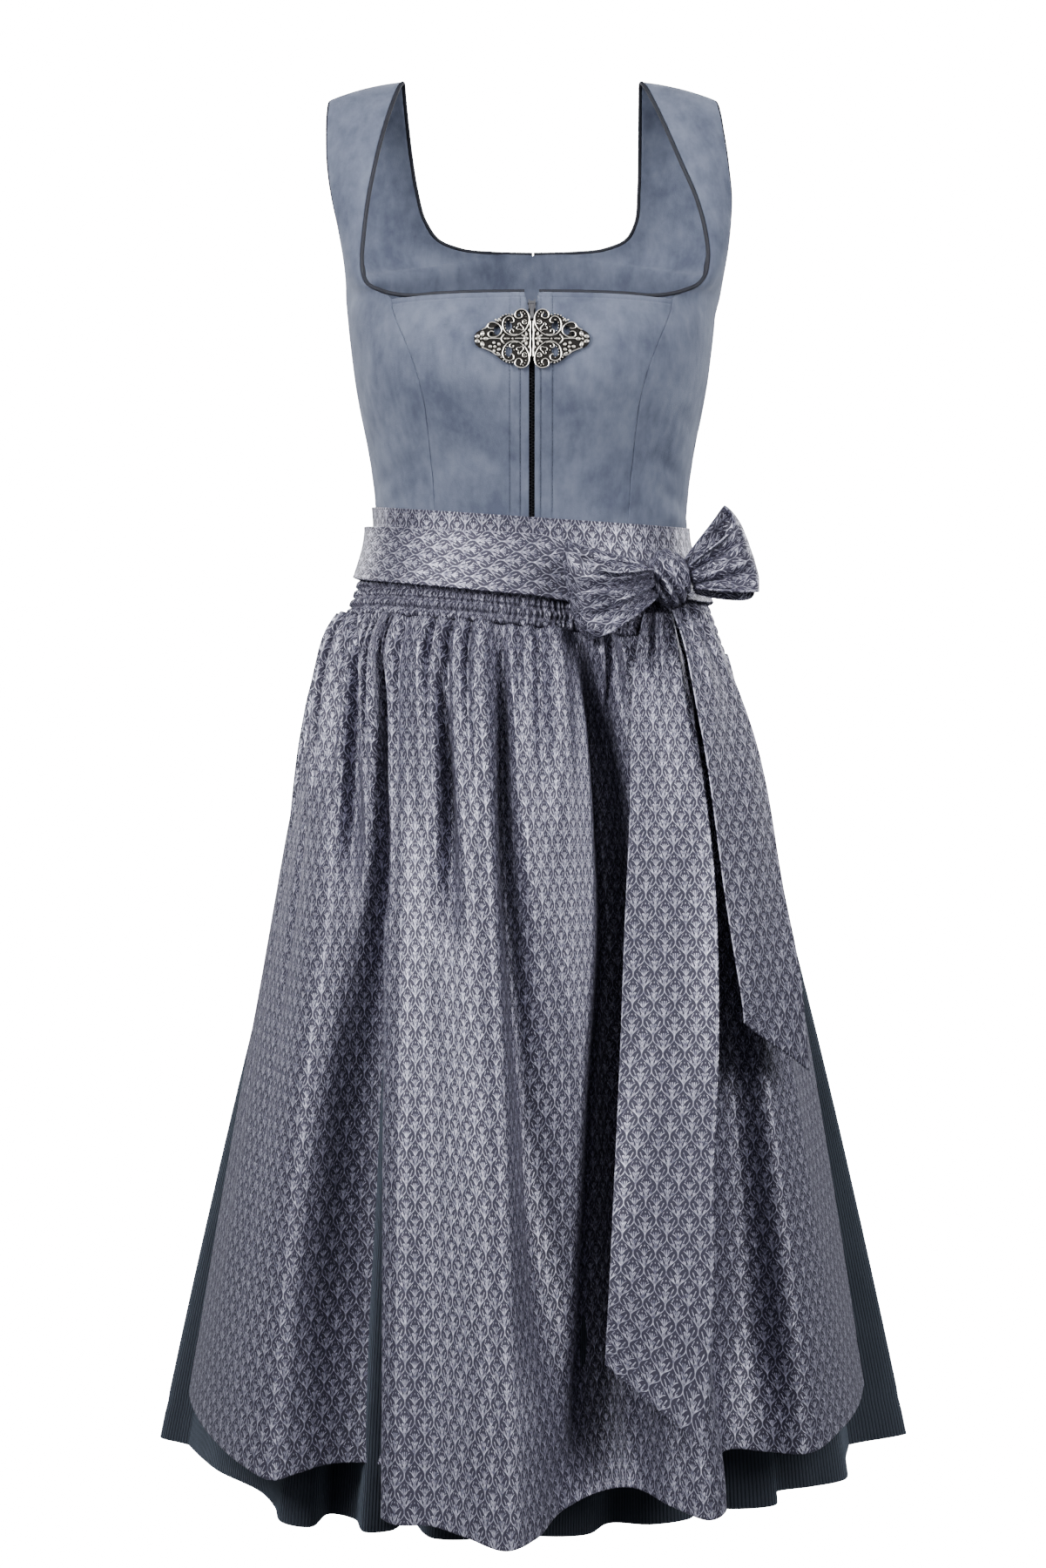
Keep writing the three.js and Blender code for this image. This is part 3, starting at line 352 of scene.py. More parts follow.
def smooth(value, low, high):
    """0 below low, 1 above high and a smooth step between."""
    t = np.clip((value - low) / (high - low), 0, 1)
    return t * t * (3 - 2 * t)


def row_at(columns, key, value):
    """A table's columns at values of its key column, on a smooth curve through the rows."""
    keys = columns[key]
    sign = 1 if keys[1] > keys[0] else -1
    value = np.asarray(value, float)
    to = np.clip(np.searchsorted(sign * keys, sign * value), 1, len(keys) - 1)
    t = np.clip((value - keys[to - 1]) / (keys[to] - keys[to - 1]), 0, 1)
    found = {}
    for name, column in columns.items():
        start, end = column[to - 1], column[to]
        slope_in = (end - column[np.maximum(to - 2, 0)]) / 2
        slope_out = (column[np.minimum(to + 1, len(keys) - 1)] - start) / 2
        found[name] = hermite(t, start, slope_in, end, slope_out)
    found[key] = value
    return found


def numbered(columns):
    """The table with its rows numbered 0 to 1 in a column named share."""
    count = len(next(iter(columns.values())))
    return {**columns, "share": np.linspace(0, 1, count)}


def points(x, y, z):
    """An array of points from arrays or numbers for each axis."""
    return np.stack(np.broadcast_arrays(*(np.asarray(c, float) for c in (x, y, z))), axis=-1)


def figure_at(angle, z, off=0):
    """Points of the figure's outline at angles (0 is the front, a quarter turn the wearer's left) and heights."""
    section = row_at(FIGURE, "z", z)
    power = 2 / section["shape"]
    s, c = np.sin(angle), np.cos(angle)
    reach = np.where(c > 0, section["front"], section["back"]) + off
    x = np.sign(s) * (section["half"] + off) * np.abs(s) ** power
    return points(x, -np.sign(c) * reach * np.abs(c) ** power, z)


def angle_at(x, z):
    """The angle at which the figure's outline lies x from the centre line."""
    section = row_at(FIGURE, "z", z)
    return np.arcsin(np.minimum(np.abs(x) / section["half"], 1) ** (section["shape"] / 2))


def front_at(x, z):
    """Points of the bodice's front, with the fullness of the cup."""
    across, up = (np.abs(x) - CUP_X) / CUP_WIDTH, (np.asarray(z) - CUP_Z) / CUP_HEIGHT
    y = figure_at(angle_at(x, z), z)[..., 1] - CUP_FULLNESS * np.exp(-(across**2) - up**2)
    return points(x, y, z)


def unit(vectors):
    """The vectors at length 1."""
    return vectors / np.maximum(np.linalg.norm(vectors, axis=-1, keepdims=True), 1e-9)


def slopes(grid, axis):
    """Differences between the neighbours of each point along an axis, one-sided at the ends."""
    ids = np.arange(grid.shape[axis])
    ahead = np.take(grid, np.minimum(ids + 1, ids[-1]), axis)
    return ahead - np.take(grid, np.maximum(ids - 1, 0), axis)


def normals(grid):
    """Outward normals of a grid whose rows run down and whose columns run towards the wearer's left."""
    return unit(np.cross(slopes(grid, 0), slopes(grid, 1)))


def arc(grid, axis):
    """Lengths along a grid's columns (axis 0) or rows (axis 1), from 0 at the start."""
    steps = np.linalg.norm(np.diff(grid, axis=axis), axis=-1)
    pad = [(0, 0)] * steps.ndim
    pad[axis] = (1, 0)
    return np.cumsum(np.pad(steps, pad), axis=axis)


def through(values, keys, at):
    """Points on the smooth curve through values, which stand at rising keys along the first axis."""
    shape = (-1,) + (1,) * (values.ndim - 1)
    gaps = np.diff(keys).reshape(shape)
    steps = np.diff(values, axis=0) / gaps
    inner = (gaps[1:] * steps[:-1] + gaps[:-1] * steps[1:]) / (gaps[1:] + gaps[:-1])
    slope = np.concatenate([steps[:1], inner, steps[-1:]])
    i = np.clip(np.searchsorted(keys, at, side="right") - 1, 0, len(keys) - 2)
    gap = gaps[i]
    t = ((at - keys[i]).reshape(shape)) / gap
    return hermite(t, values[i], gap * slope[i], values[i + 1], gap * slope[i + 1])


def shares(count, length):
    """Even shares of a length, with more of them in its first and last millimetre for the turned edges."""
    close = np.array([0, 0.12, 0.45, 1]) / length
    return np.concatenate([close, np.linspace(0, 1, count + 1)[1:-1], 1 - close[::-1]])


def refined(grid, rows, columns):
    """A smooth fine grid through the points of a coarse one."""
    for axis, count in ((0, rows), (1, columns)):
        grid = np.swapaxes(grid, 0, axis)
        keys = arc(grid, 0).mean(axis=1)
        at = shares(count, keys[-1]) * keys[-1]
        grid = np.swapaxes(through(grid, keys, at), 0, axis)
    return grid


def mirrored(grid):
    """The grid on the other side of the body, with its columns still running towards the wearer's left."""
    return grid[:, ::-1] * (-1, 1, 1)


def leaned(grid):
    """The straps stand a little askew on the shoulders."""
    z = np.clip(grid[..., 2], LEAN["z"][0], LEAN["z"][-1])
    return grid + points(row_at(LEAN, "z", z)["x"], 0, 0)


def wave(x, *harmonics):
    """A sum of sines, each given as size, count and start."""
    return sum(size * np.sin(2 * np.pi * (count * x + start)) for size, count, start in harmonics)


def creased(grid, out, creases):
    """Pushes soft ridges and troughs into a grid. Each has a centre x and z, a slant, a half length, width and rise."""
    for x, z, slant, half, width, rise in creases:
        c, s = math.cos(math.radians(slant)), math.sin(math.radians(slant))
        dx, dz = grid[..., 0] - x, grid[..., 2] - z
        along, across = dx * c + dz * s, dz * c - dx * s
        fade = np.clip(1 - (along / half) ** 2, 0, 1) ** 2
        grid = grid + out * (rise * fade * bell(across, 0, width))[..., None]
    return grid


# ---- Meshes --------------------------------------------------------------------------------------------------------
# Materials by finish, filled in when they are made.
MATERIALS = {}


def mesh_object(name, vertices, faces, uv=None):
    """An object at the origin from millimetre points, faces and, if given, a map of cloth millimetres."""
    mesh = bpy.data.meshes.new(name)
    mesh.from_pydata((np.asarray(vertices) * MM).tolist(), [], faces)
    if uv is not None:
        corners = np.empty(len(mesh.loops), np.int32)
        mesh.loops.foreach_get("vertex_index", corners)
        mesh.uv_layers.new(name="cloth").data.foreach_set("uv", uv[corners].astype(np.float32).ravel())
    mesh.shade_smooth()
    made = bpy.data.objects.new(name, mesh)
    bpy.context.scene.collection.objects.link(made)
    return made


def tiles(ids):
    """Four corners of each cell of a grid of vertex numbers."""
    return np.stack([ids[:-1, :-1], ids[1:, :-1], ids[1:, 1:], ids[:-1, 1:]], -1).reshape(-1, 4)


def shell(name, outer, inner, uv_outer, uv_inner):
    """A closed cloth between an outer and an inner grid, which have the same columns and may differ in rows."""
    outside = np.arange(outer.shape[0] * outer.shape[1]).reshape(outer.shape[:2])
    inside = outside.size + np.arange(inner.shape[0] * inner.shape[1]).reshape(inner.shape[:2])
    rims = (
        np.stack([outside[0], inside[0]]),
        np.stack([inside[-1], outside[-1]]),
    )
    faces = np.concatenate([tiles(outside), tiles(inside)[:, ::-1], tiles(rims[0])[:, ::-1], tiles(rims[1])[:, ::-1]])
    faces = faces.tolist()
    if outer.shape[0] == inner.shape[0]:
        sides = (np.stack([outside[:, 0], inside[:, 0]], 1), np.stack([inside[:, -1], outside[:, -1]], 1))
        faces += np.concatenate([tiles(side)[:, ::-1] for side in sides]).tolist()
    else:
        faces.append([*outside[::-1, 0], *inside[:, 0]])
        faces.append([*outside[:, -1], *inside[::-1, -1]])
    vertices = np.concatenate([outer.reshape(-1, 3), inner.reshape(-1, 3)])
    uv = np.concatenate([uv_outer.reshape(-1, 2), uv_inner.reshape(-1, 2)])
    return mesh_object(name, vertices, faces, uv)


def laid_flat(grid, width=None):
    """Cloth millimetres of each point: across the grid and up it. With a width, the grain follows the columns."""
    across = arc(grid, 1).mean(axis=0)
    if width is not None:
        across = across / across[-1] * width
    down = arc(grid, 0).mean(axis=1)
    return np.stack(np.broadcast_arrays(across[None, :], -down[:, None]), -1)


def declare_sheet(grid):
    """Works out the size that the cloth was cut to: its longest row and column, and its area; none of it is kept."""
    wide, long = arc(grid, 1)[:, -1].max() * MM, arc(grid, 0)[-1].max() * MM
    cell = np.cross(slopes(grid, 0) / 2, slopes(grid, 1) / 2)
    area = np.linalg.norm(cell, axis=-1).sum() * MM * MM
    area = min(max(area, 0.31 * wide * long), wide * long)
    area * 0.995


def finish_piece(piece, finish, *nodes):
    """Gives a piece of the dress its material, hangs it from the dress and hides the frame nodes that it stands for."""
    piece.data.materials.clear()
    piece.data.materials.append(MATERIALS[finish])
    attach(piece, "dress")
    if nodes:
        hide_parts(*nodes)


def cloth(name, grid, thickness, finish, uv=None, out=None, sideways=False):
    """A cloth piece with turned edges that stands for the node of its name. The grid is its outer face."""
    out = normals(grid) if out is None else out
    radius = TURNED * thickness
    across, down = arc(grid, 1), arc(grid, 0)
    near = np.minimum.reduce([across, across[:, -1:] - across, down, down[-1:] - down])
    dip = (radius * (1 - np.sqrt(1 - np.clip(1 - near / radius, 0, 1) ** 2)))[..., None]
    uv = laid_flat(grid) if uv is None else uv
    if sideways:
        uv = uv[..., ::-1]
    piece = shell(name, grid - out * dip, grid - out * (thickness - dip), uv, uv)
    finish_piece(piece, finish, name)
    declare_sheet(grid)


def tube(name, line, out, radius, sides, twist, ridges, relief):
    """A closed cord along a line, with twisted ridges. Its map runs along and round it."""
    along = unit(slopes(line, 0))
    up = unit(out - along * (out * along).sum(-1, keepdims=True))
    side = np.cross(along, up)
    length = arc(line, 0)[:, None]
    turn = np.linspace(0, 2 * np.pi, sides, endpoint=False)[None, :]
    swell = radius - relief + relief * np.abs(np.cos(ridges / 2 * turn + twist * length))
    ring = np.cos(turn)[..., None] * side[:, None] + np.sin(turn)[..., None] * up[:, None]
    grid = line[:, None] + ring * swell[..., None]
    ids = np.arange(grid.shape[0] * sides).reshape(-1, sides)
    closed = np.concatenate([ids, ids[:, :1]], 1)
    faces = tiles(closed)[:, ::-1].tolist() + [ids[0].tolist(), ids[-1, ::-1].tolist()]
    uv = np.stack(np.broadcast_arrays(turn * radius, length), -1)
    made = mesh_object(name, grid.reshape(-1, 3), faces, uv.reshape(-1, 2))
    return facing_out(made)


def deselect():
    """Deselects every object."""
    bpy.ops.object.select_all(action="DESELECT")


def pick_all():
    """Selects the whole mesh in edit mode."""
    bpy.ops.object.mode_set(mode="EDIT")
    bpy.ops.mesh.select_all(action="SELECT")


def facing_out(piece):
    """Turns a closed mesh's faces outwards."""
    deselect()
    piece.select_set(True)
    bpy.context.view_layer.objects.active = piece
    pick_all()
    bpy.ops.mesh.normals_make_consistent(inside=False)
    bpy.ops.object.mode_set(mode="OBJECT")
    return piece


def stitches(name, lines, pitch, length, width):
    """Running stitches as one mesh: lines are pairs of points and outward directions."""
    bead = np.array([(-0.5, 0, 0), (0, 0.5, 0), (0, 0, 0.5), (0, -0.5, 0), (0, 0, -0.4), (0.5, 0, 0)])
    facets = np.array([(0, 2, 1), (0, 3, 2), (0, 4, 3), (0, 1, 4), (5, 1, 2), (5, 2, 3), (5, 3, 4), (5, 4, 1)])
    vertices, faces = [], []
    for line, out in lines:
        keys = arc(line, 0)
        at = np.arange(pitch, keys[-1] - pitch / 2, pitch)
        centre = np.stack([np.interp(at, keys, line[:, k]) for k in range(3)], -1)
        along = unit(np.stack([np.interp(at, keys, slopes(line, 0)[:, k]) for k in range(3)], -1))
        up = np.stack([np.interp(at, keys, out[:, k]) for k in range(3)], -1)
        up = unit(up - along * (up * along).sum(-1, keepdims=True))
        side = np.cross(up, along)
        for c, a, s, u in zip(centre, along, side, up):
            faces.append(facets + 6 * len(vertices))
            vertices.append(c + bead[:, :1] * a * length + bead[:, 1:2] * s * width + bead[:, 2:] * u * width)
    return mesh_object(name, np.concatenate(vertices), np.concatenate(faces).tolist())


# ---- Shader nodes --------------------------------------------------------------------------------------------------
def arithmetic(operation, swapped=False):
    """A method that puts a Math node between a field and another value."""

    def method(self, other):
        return self.math(operation, *((other, self) if swapped else (self, other)))

    return method


class Field:
    """A number that varies over a surface, for writing Math nodes as sums."""

    def __init__(self, tree, socket):
        self.tree = tree
        self.socket = socket

    def math(self, operation, *values, clamp=False):
        """A Math node of the values."""
        maths = self.tree.nodes.new("ShaderNodeMath")
        maths.operation = operation
        maths.use_clamp = clamp
        for socket, value in zip(maths.inputs, values):
            feed(self.tree, socket, value)
        return Field(self.tree, maths.outputs[0])

    def of(self, function, *more):
        """A function of the number, such as SINE."""
        return self.math(function, self, *more)

    def clamped(self, scale=1.0):
        """The number times a scale, kept between 0 and 1."""
        return self.math("MULTIPLY", self, scale, clamp=True)

    def below(self, edge, soft):
        """1 where the number is under the edge, fading to 0 over a soft width."""
        return (edge + soft - self).clamped(1 / soft)

    def __abs__(self):
        return self.of("ABSOLUTE")

    __add__, __radd__ = arithmetic("ADD"), arithmetic("ADD", True)
    __sub__, __rsub__ = arithmetic("SUBTRACT"), arithmetic("SUBTRACT", True)
    __mul__, __rmul__ = arithmetic("MULTIPLY"), arithmetic("MULTIPLY", True)
    __truediv__ = arithmetic("DIVIDE")


def feed(tree, socket, value):
    """Gives an input a constant, or links an output to it."""
    if isinstance(value, Field):
        value = value.socket
    if isinstance(value, bpy.types.NodeSocket):
        tree.links.new(value, socket)
    else:
        socket.default_value = value


def node(tree, kind, inputs, **settings):
    """A shader node with its settings and inputs."""
    made = tree.nodes.new("ShaderNode" + kind)
    for name, value in settings.items():
        setattr(made, name, value)
    for name, value in inputs.items():
        feed(tree, made.inputs[name], value)
    return made


def new_group(name, inputs, outputs):
    """A node group with a vector named Place, float inputs with defaults, and float outputs."""
    tree = bpy.data.node_groups.new(name, "ShaderNodeTree")
    tree.interface.new_socket("Place", in_out="INPUT", socket_type="NodeSocketVector")
    for label, default in inputs.items():
        tree.interface.new_socket(label, in_out="INPUT", socket_type="NodeSocketFloat").default_value = default
    for label in outputs:
        tree.interface.new_socket(label, in_out="OUTPUT", socket_type="NodeSocketFloat")
    fields = {socket.name: Field(tree, socket) for socket in tree.nodes.new("NodeGroupInput").outputs if socket.name}
    return tree, fields, tree.nodes.new("NodeGroupOutput").inputs


def axes(tree, place):
    """The x, y and z of a vector."""
    split = node(tree, "SeparateXYZ", {"Vector": place})
    return [Field(tree, split.outputs[k]) for k in range(3)]


def noise(tree, place, scale, detail=2.0, roughness=0.5):
    """A noise from 0 to 1."""
    inputs = {"Vector": place, "Scale": scale, "Detail": detail, "Roughness": roughness}
    return Field(tree, node(tree, "TexNoise", inputs).outputs["Fac"])


def stretched(tree, place, scale):
    """A vector scaled by a number for each axis."""
    return node(tree, "VectorMath", {0: place, 1: scale}, operation="MULTIPLY").outputs[0]


def segment(x, y, start, end):
    """Distance from a straight line between two points."""
    run, rise = end[0] - start[0], end[1] - start[1]
    dx, dy = x - start[0], y - start[1]
    share = (dx * run + dy * rise).clamped(1 / (run * run + rise * rise))
    left_x, left_y = dx - share * run, dy - share * rise
    return (left_x * left_x + left_y * left_y).of("SQRT")


BORDER_THICK, STROKE_THIN, STROKE_BLUR = 0.18, 0.62, 0.16
# Strokes of the tulip in one cell of the lattice, from the cell's middle: start, end and half thickness.
TULIP = (
    ((0, -0.8), (0, 3.0), 0.42),
    ((0.1, -1.4), (2.0, 1.5), 0.34),
    ((2.0, 1.5), (3.3, 2.5), 0.3),
    ((0.9, 0.4), (1.4, 3.0), 0.26),
    ((0, -10.6), (0, -1.4), 0.26),
    ((0.1, -6.4), (1.9, -2.2), 0.36),
    ((3.0, -3.2), (4.4, 0.2), 0.32),
    ((0.5, -8.8), (3.5, -4.2), 0.34),
    ((0, 5.2), (0, 5.7), 0.36),
    ((0.1, -4.0), (1.3, -1.9), 0.3),
    ((2.2, -6.0), (2.5, -4.0), 0.26),
    ((2.9, 3.4), (1.9, 5.6), 0.26),
    ((0.6, -7.6), (0.8, -6.2), 0.24),
)


def woven_motif_group():
    """Half-drop lattice of ogee lines with a small three-petalled tulip and its twigs in each cell."""
    tree, given, out = new_group("woven_motif", {"Width": 13.2, "Height": 23.0}, ["Motif"])
    u, v, _ = axes(tree, given["Place"])
    p, q = u / given["Width"], v / given["Height"]
    near_p, near_q = (p + 0.5).of("FRACT") - 0.5, (q + 0.5).of("FRACT") - 0.5
    swing = (near_q * (2 * math.pi)).of("COSINE")
    half = 0.25 + 0.25 * (swing * 1.15 - 0.15 * swing * swing * swing)
    reach = abs(near_p)
    other_p, other_q = p.of("FRACT") - 0.5, q.of("FRACT") - 0.5
    beyond = reach.of("GREATER_THAN", half)
    x = (abs(other_p) - reach) * beyond + reach
    y = (other_q - near_q) * beyond + near_q
    steep = 1 + 0.8 * (1 - swing * swing)
    border = abs(reach - half) * given["Width"] / steep.of("SQRT")
    scaled_x, scaled_y = x * given["Width"], y * given["Height"]
    mask = border.below(BORDER_THICK, STROKE_BLUR)
    for start, end, thick in TULIP:
        stroke = segment(scaled_x, scaled_y, start, end).below(thick * STROKE_THIN, STROKE_BLUR)
        mask = mask.of("MAXIMUM", stroke)
    feed(tree, out["Motif"], mask)
    return tree


def nap_group():
    """Brushed pile: cloudy patches where it lies another way, and its fine fibres."""
    tree, given, out = new_group("brushed_nap", {"Patches": 22.0, "Fibres": 900.0}, ["Cloud", "Fibre"])
    place = given["Place"]
    clouds = noise(tree, place, given["Patches"], 4.0, 0.62)
    streaks = noise(tree, stretched(tree, place, (1.6, 1.6, 0.7)), given["Patches"] * 3.1, 3.0, 0.6)
    sharp = node(
        tree, "MapRange", {"Value": clouds * 0.62 + streaks * 0.38, "From Min": 0.37, "From Max": 0.63}
    ).outputs[0]
    feed(tree, out["Cloud"], sharp)
    feed(tree, out["Fibre"], noise(tree, place, given["Fibres"], 2.0, 0.7))
    return tree


def thread_group():
    """Fine threads across and along a cloth, in millimetres of cloth."""
    tree, given, out = new_group("fine_threads", {"Pitch": 0.5}, ["Thread"])
    u, v, _ = axes(tree, given["Place"])
    warp = (u / given["Pitch"] * (2 * math.pi)).of("SINE")
    weft = (v / given["Pitch"] * (2.6 * math.pi)).of("SINE")
    uneven = noise(tree, stretched(tree, given["Place"], (1.4, 0.12, 1.0)), 1.0, 2.0, 0.5)
    feed(tree, out["Thread"], 0.5 + warp * weft * 0.25 + (uneven - 0.5) * 0.6)
    return tree


def wale_group():
    """Cords of corduroy: rounded ribs that run down the cloth."""
    tree, given, out = new_group("corduroy_wales", {"Pitch": 2.8}, ["Wale"])
    u, _, _ = axes(tree, given["Place"])
    wobble = noise(tree, stretched(tree, given["Place"], (0.02, 0.05, 1.0)), 1.0, 1.0, 0.5)
    turn = (u + wobble * 0.5) / given["Pitch"]
    feed(tree, out["Wale"], abs((turn * math.pi).of("SINE")).of("POWER", 0.65))
    return tree


def new_material(name):
    """A material with its tree, its Principled shader and its place inputs."""
    material = bpy.data.materials.new(name)
    material.use_nodes = True
    tree = material.node_tree
    shader = tree.nodes["Principled BSDF"]
    place = tree.nodes.new("ShaderNodeTexCoord").outputs["Object"]
    on_cloth = node(tree, "UVMap", {}, uv_map="cloth").outputs[0]
    return material, tree, shader, place, on_cloth


def placed_group(tree, group, place, **values):
    """A node group in a material's tree, with its outputs as fields."""
    made = tree.nodes.new("ShaderNodeGroup")
    made.node_tree = bpy.data.node_groups[group]
    feed(tree, made.inputs["Place"], place)
    for name, value in values.items():
        made.inputs[name].default_value = value
    return {socket.name: Field(tree, socket) for socket in made.outputs}


def blended(tree, share, first, second):
    """A colour between two others, each a plain colour or an output."""
    made = node(tree, "Mix", {"Factor": share}, data_type="RGBA")
    for socket, shade in zip(made.inputs[6:8], (first, second)):
        feed(tree, socket, shade if isinstance(shade, bpy.types.NodeSocket) else (*shade[:3], 1.0))
    return made.outputs[2]


def catch_light(shader, specular, sheen, roughness, tint):
    """Sets how the threads of a cloth shine, and how they catch light at a slant."""
    shader.inputs["Specular IOR Level"].default_value = specular
    shader.inputs["Sheen Weight"].default_value = sheen
    shader.inputs["Sheen Roughness"].default_value = roughness
    shader.inputs["Sheen Tint"].default_value = (*tint, 1)


def bumped(tree, shader, height, distance):
    """Links a height from 0 to 1, which stands for a distance in millimetres, to the shader's normal."""
    bump = node(tree, "Bump", {"Height": height, "Distance": distance * MM, "Strength": 1.0})
    feed(tree, shader.inputs["Normal"], bump.outputs[0])


def velvet_material(look):
    """Cotton velvet with a cloudy nap."""
    material, tree, shader, place, _ = new_material("slate_velvet")
    nap = placed_group(tree, "brushed_nap", place, Patches=22.0, Fibres=1500.0)
    shade = nap["Cloud"] * 0.75 + nap["Fibre"] * 0.3 - 0.05
    feed(tree, shader.inputs["Base Color"], blended(tree, shade, look.velvet_shade, look.velvet))
    feed(tree, shader.inputs["Roughness"], 0.95 - nap["Cloud"] * 0.15)
    catch_light(shader, 0.2, 0.55, 0.42, (0.76, 0.8, 0.9))
    bumped(tree, shader, nap["Fibre"] * 0.7 + nap["Cloud"] * 0.05, 0.3)
    return material


def corduroy_material(look):
    """Fine-wale corduroy, with painted shade in the grooves between its wales and a painted sheen on their tops."""
    material, tree, shader, place, on_cloth = new_material("slate_corduroy")
    wales = placed_group(tree, "corduroy_wales", on_cloth, Pitch=look.wale_pitch)["Wale"]
    nap = placed_group(tree, "brushed_nap", place, Patches=14.0, Fibres=1200.0)
    # Painted shade and sheen: the wales make the grooves dark, where shade falls, and the wale tops light; the nap adds
    # random tone.
    shade = wales * 0.7 + nap["Cloud"] * 0.2 + nap["Fibre"] * 0.2 - 0.1
    feed(tree, shader.inputs["Base Color"], blended(tree, shade, look.corduroy_groove_shade, look.corduroy))
    feed(tree, shader.inputs["Roughness"], 0.95 - wales * 0.12)
    catch_light(shader, 0.2, 0.35, 0.5, (0.6, 0.7, 0.85))
    bumped(tree, shader, wales + nap["Fibre"] * 0.12, 0.8)
    return material


def jacquard_material(look):
    """Satin jacquard: shining tulip lattice on a duller ground; part of the tulips' shine is a painted sheen in random
    patches.
    """
    material, tree, shader, place, on_cloth = new_material("tulip_jacquard")
    motif = placed_group(tree, "woven_motif", on_cloth, Width=look.motif_width, Height=look.motif_height)
    thread = placed_group(tree, "fine_threads", on_cloth, Pitch=0.55)["Thread"]
    tone = noise(tree, place, 9.0, 2.0)
    ground = blended(tree, thread * 0.7 + tone * 0.3, look.ground_shade, look.ground)
    # Painted sheen: random patches where the tulip threads are painted bright, as satin catching the light, and dim
    # between them.
    painted_sheen = noise(tree, on_cloth, 0.32, 2.0)
    figure = blended(tree, (painted_sheen * 2.6 - 0.85).clamped(), look.motif_without_sheen, look.motif)
    mask = motif["Motif"]
    feed(tree, shader.inputs["Base Color"], blended(tree, mask, ground, figure))
    feed(tree, shader.inputs["Roughness"], 0.5 - mask * 0.12 + (thread - 0.5) * 0.1)
    feed(tree, shader.inputs["Metallic"], mask * 0.5 + 0.12)
    catch_light(shader, 0.5, 0.12, 0.35, (0.75, 0.75, 0.9))
    bumped(tree, shader, mask * 0.7 + thread * 0.25, 0.25)
    return material


def plain_material(name, dark, light, roughness, metallic=0.0):
    """A trim of threads or metal whose tone varies between two colours."""
    material, tree, shader, place, on_cloth = new_material(name)
    nap = placed_group(tree, "brushed_nap", place, Patches=120.0, Fibres=2400.0)
    shade = nap["Cloud"] * 0.5 + nap["Fibre"] * 0.5
    if not metallic:
        thread = placed_group(tree, "fine_threads", on_cloth, Pitch=0.6)["Thread"]
        shade = shade * 0.5 + thread * 0.5
    feed(tree, shader.inputs["Base Color"], blended(tree, shade, dark, light))
    feed(tree, shader.inputs["Roughness"], roughness + (nap["Cloud"] - 0.5) * 0.15)
    shader.inputs["Metallic"].default_value = metallic
    bumped(tree, shader, shade, 0.12)
    return material


def silver_material(look):
    """Antique silver: bright on its raised parts and dark in its recesses."""
    material, tree, shader, place, _ = new_material("antique_silver")
    nap = placed_group(tree, "brushed_nap", place, Patches=260.0, Fibres=2600.0)
    relief = Field(tree, node(tree, "Attribute", {}, attribute_name="relief").outputs["Fac"])
    bright = (relief * 1.25 + nap["Cloud"] * 0.2 - 0.2).clamped()
    feed(tree, shader.inputs["Base Color"], blended(tree, bright, look.tarnish, look.silver))
    feed(tree, shader.inputs["Roughness"], 0.52 - bright * 0.24)
    shader.inputs["Metallic"].default_value = 1.0
    bumped(tree, shader, nap["Fibre"] * 0.5 + nap["Cloud"] * 0.5, 0.06)
    return material


def stage_material(glow):
    """Plain pale paper that glows evenly, as paper lit from behind does."""
    material, tree, shader, place, _ = new_material("pale_paper")
    tone = noise(tree, place, 1.5, 1.0)
    feed(tree, shader.inputs["Base Color"], blended(tree, tone, (0.9, 0.9, 0.9), (0.93, 0.93, 0.93)))
    shader.inputs["Roughness"].default_value = 0.9
    shader.inputs["Emission Color"].default_value = (1, 1, 1, 1)
    shader.inputs["Emission Strength"].default_value = glow
    return material


def make_materials(look):
    """Builds the node groups and every material of the dress."""
    for build in (woven_motif_group, nap_group, thread_group, wale_group):
        build()
    MATERIALS["velvet"] = velvet_material(look)
    MATERIALS["corduroy"] = corduroy_material(look)
    MATERIALS["jacquard"] = jacquard_material(look)
    MATERIALS["piping"] = plain_material("dark_cord", (0.012, 0.013, 0.02), (0.055, 0.058, 0.075), 0.62)
    MATERIALS["tape"] = plain_material("zip_tape", (0.006, 0.007, 0.01), (0.02, 0.022, 0.03), 0.8)
    MATERIALS["coil"] = plain_material("zip_coil", (0.01, 0.011, 0.014), (0.05, 0.052, 0.06), 0.4)
    MATERIALS["thread"] = plain_material("sewing_thread", (0.05, 0.065, 0.09), (0.12, 0.14, 0.18), 0.6)
    MATERIALS["pale_thread"] = plain_material("apron_thread", (0.12, 0.12, 0.16), (0.24, 0.24, 0.3), 0.5)
    MATERIALS["steel"] = plain_material("slider_metal", (0.09, 0.09, 0.1), (0.26, 0.26, 0.27), 0.36, 1.0)
    MATERIALS["silver"] = silver_material(look)


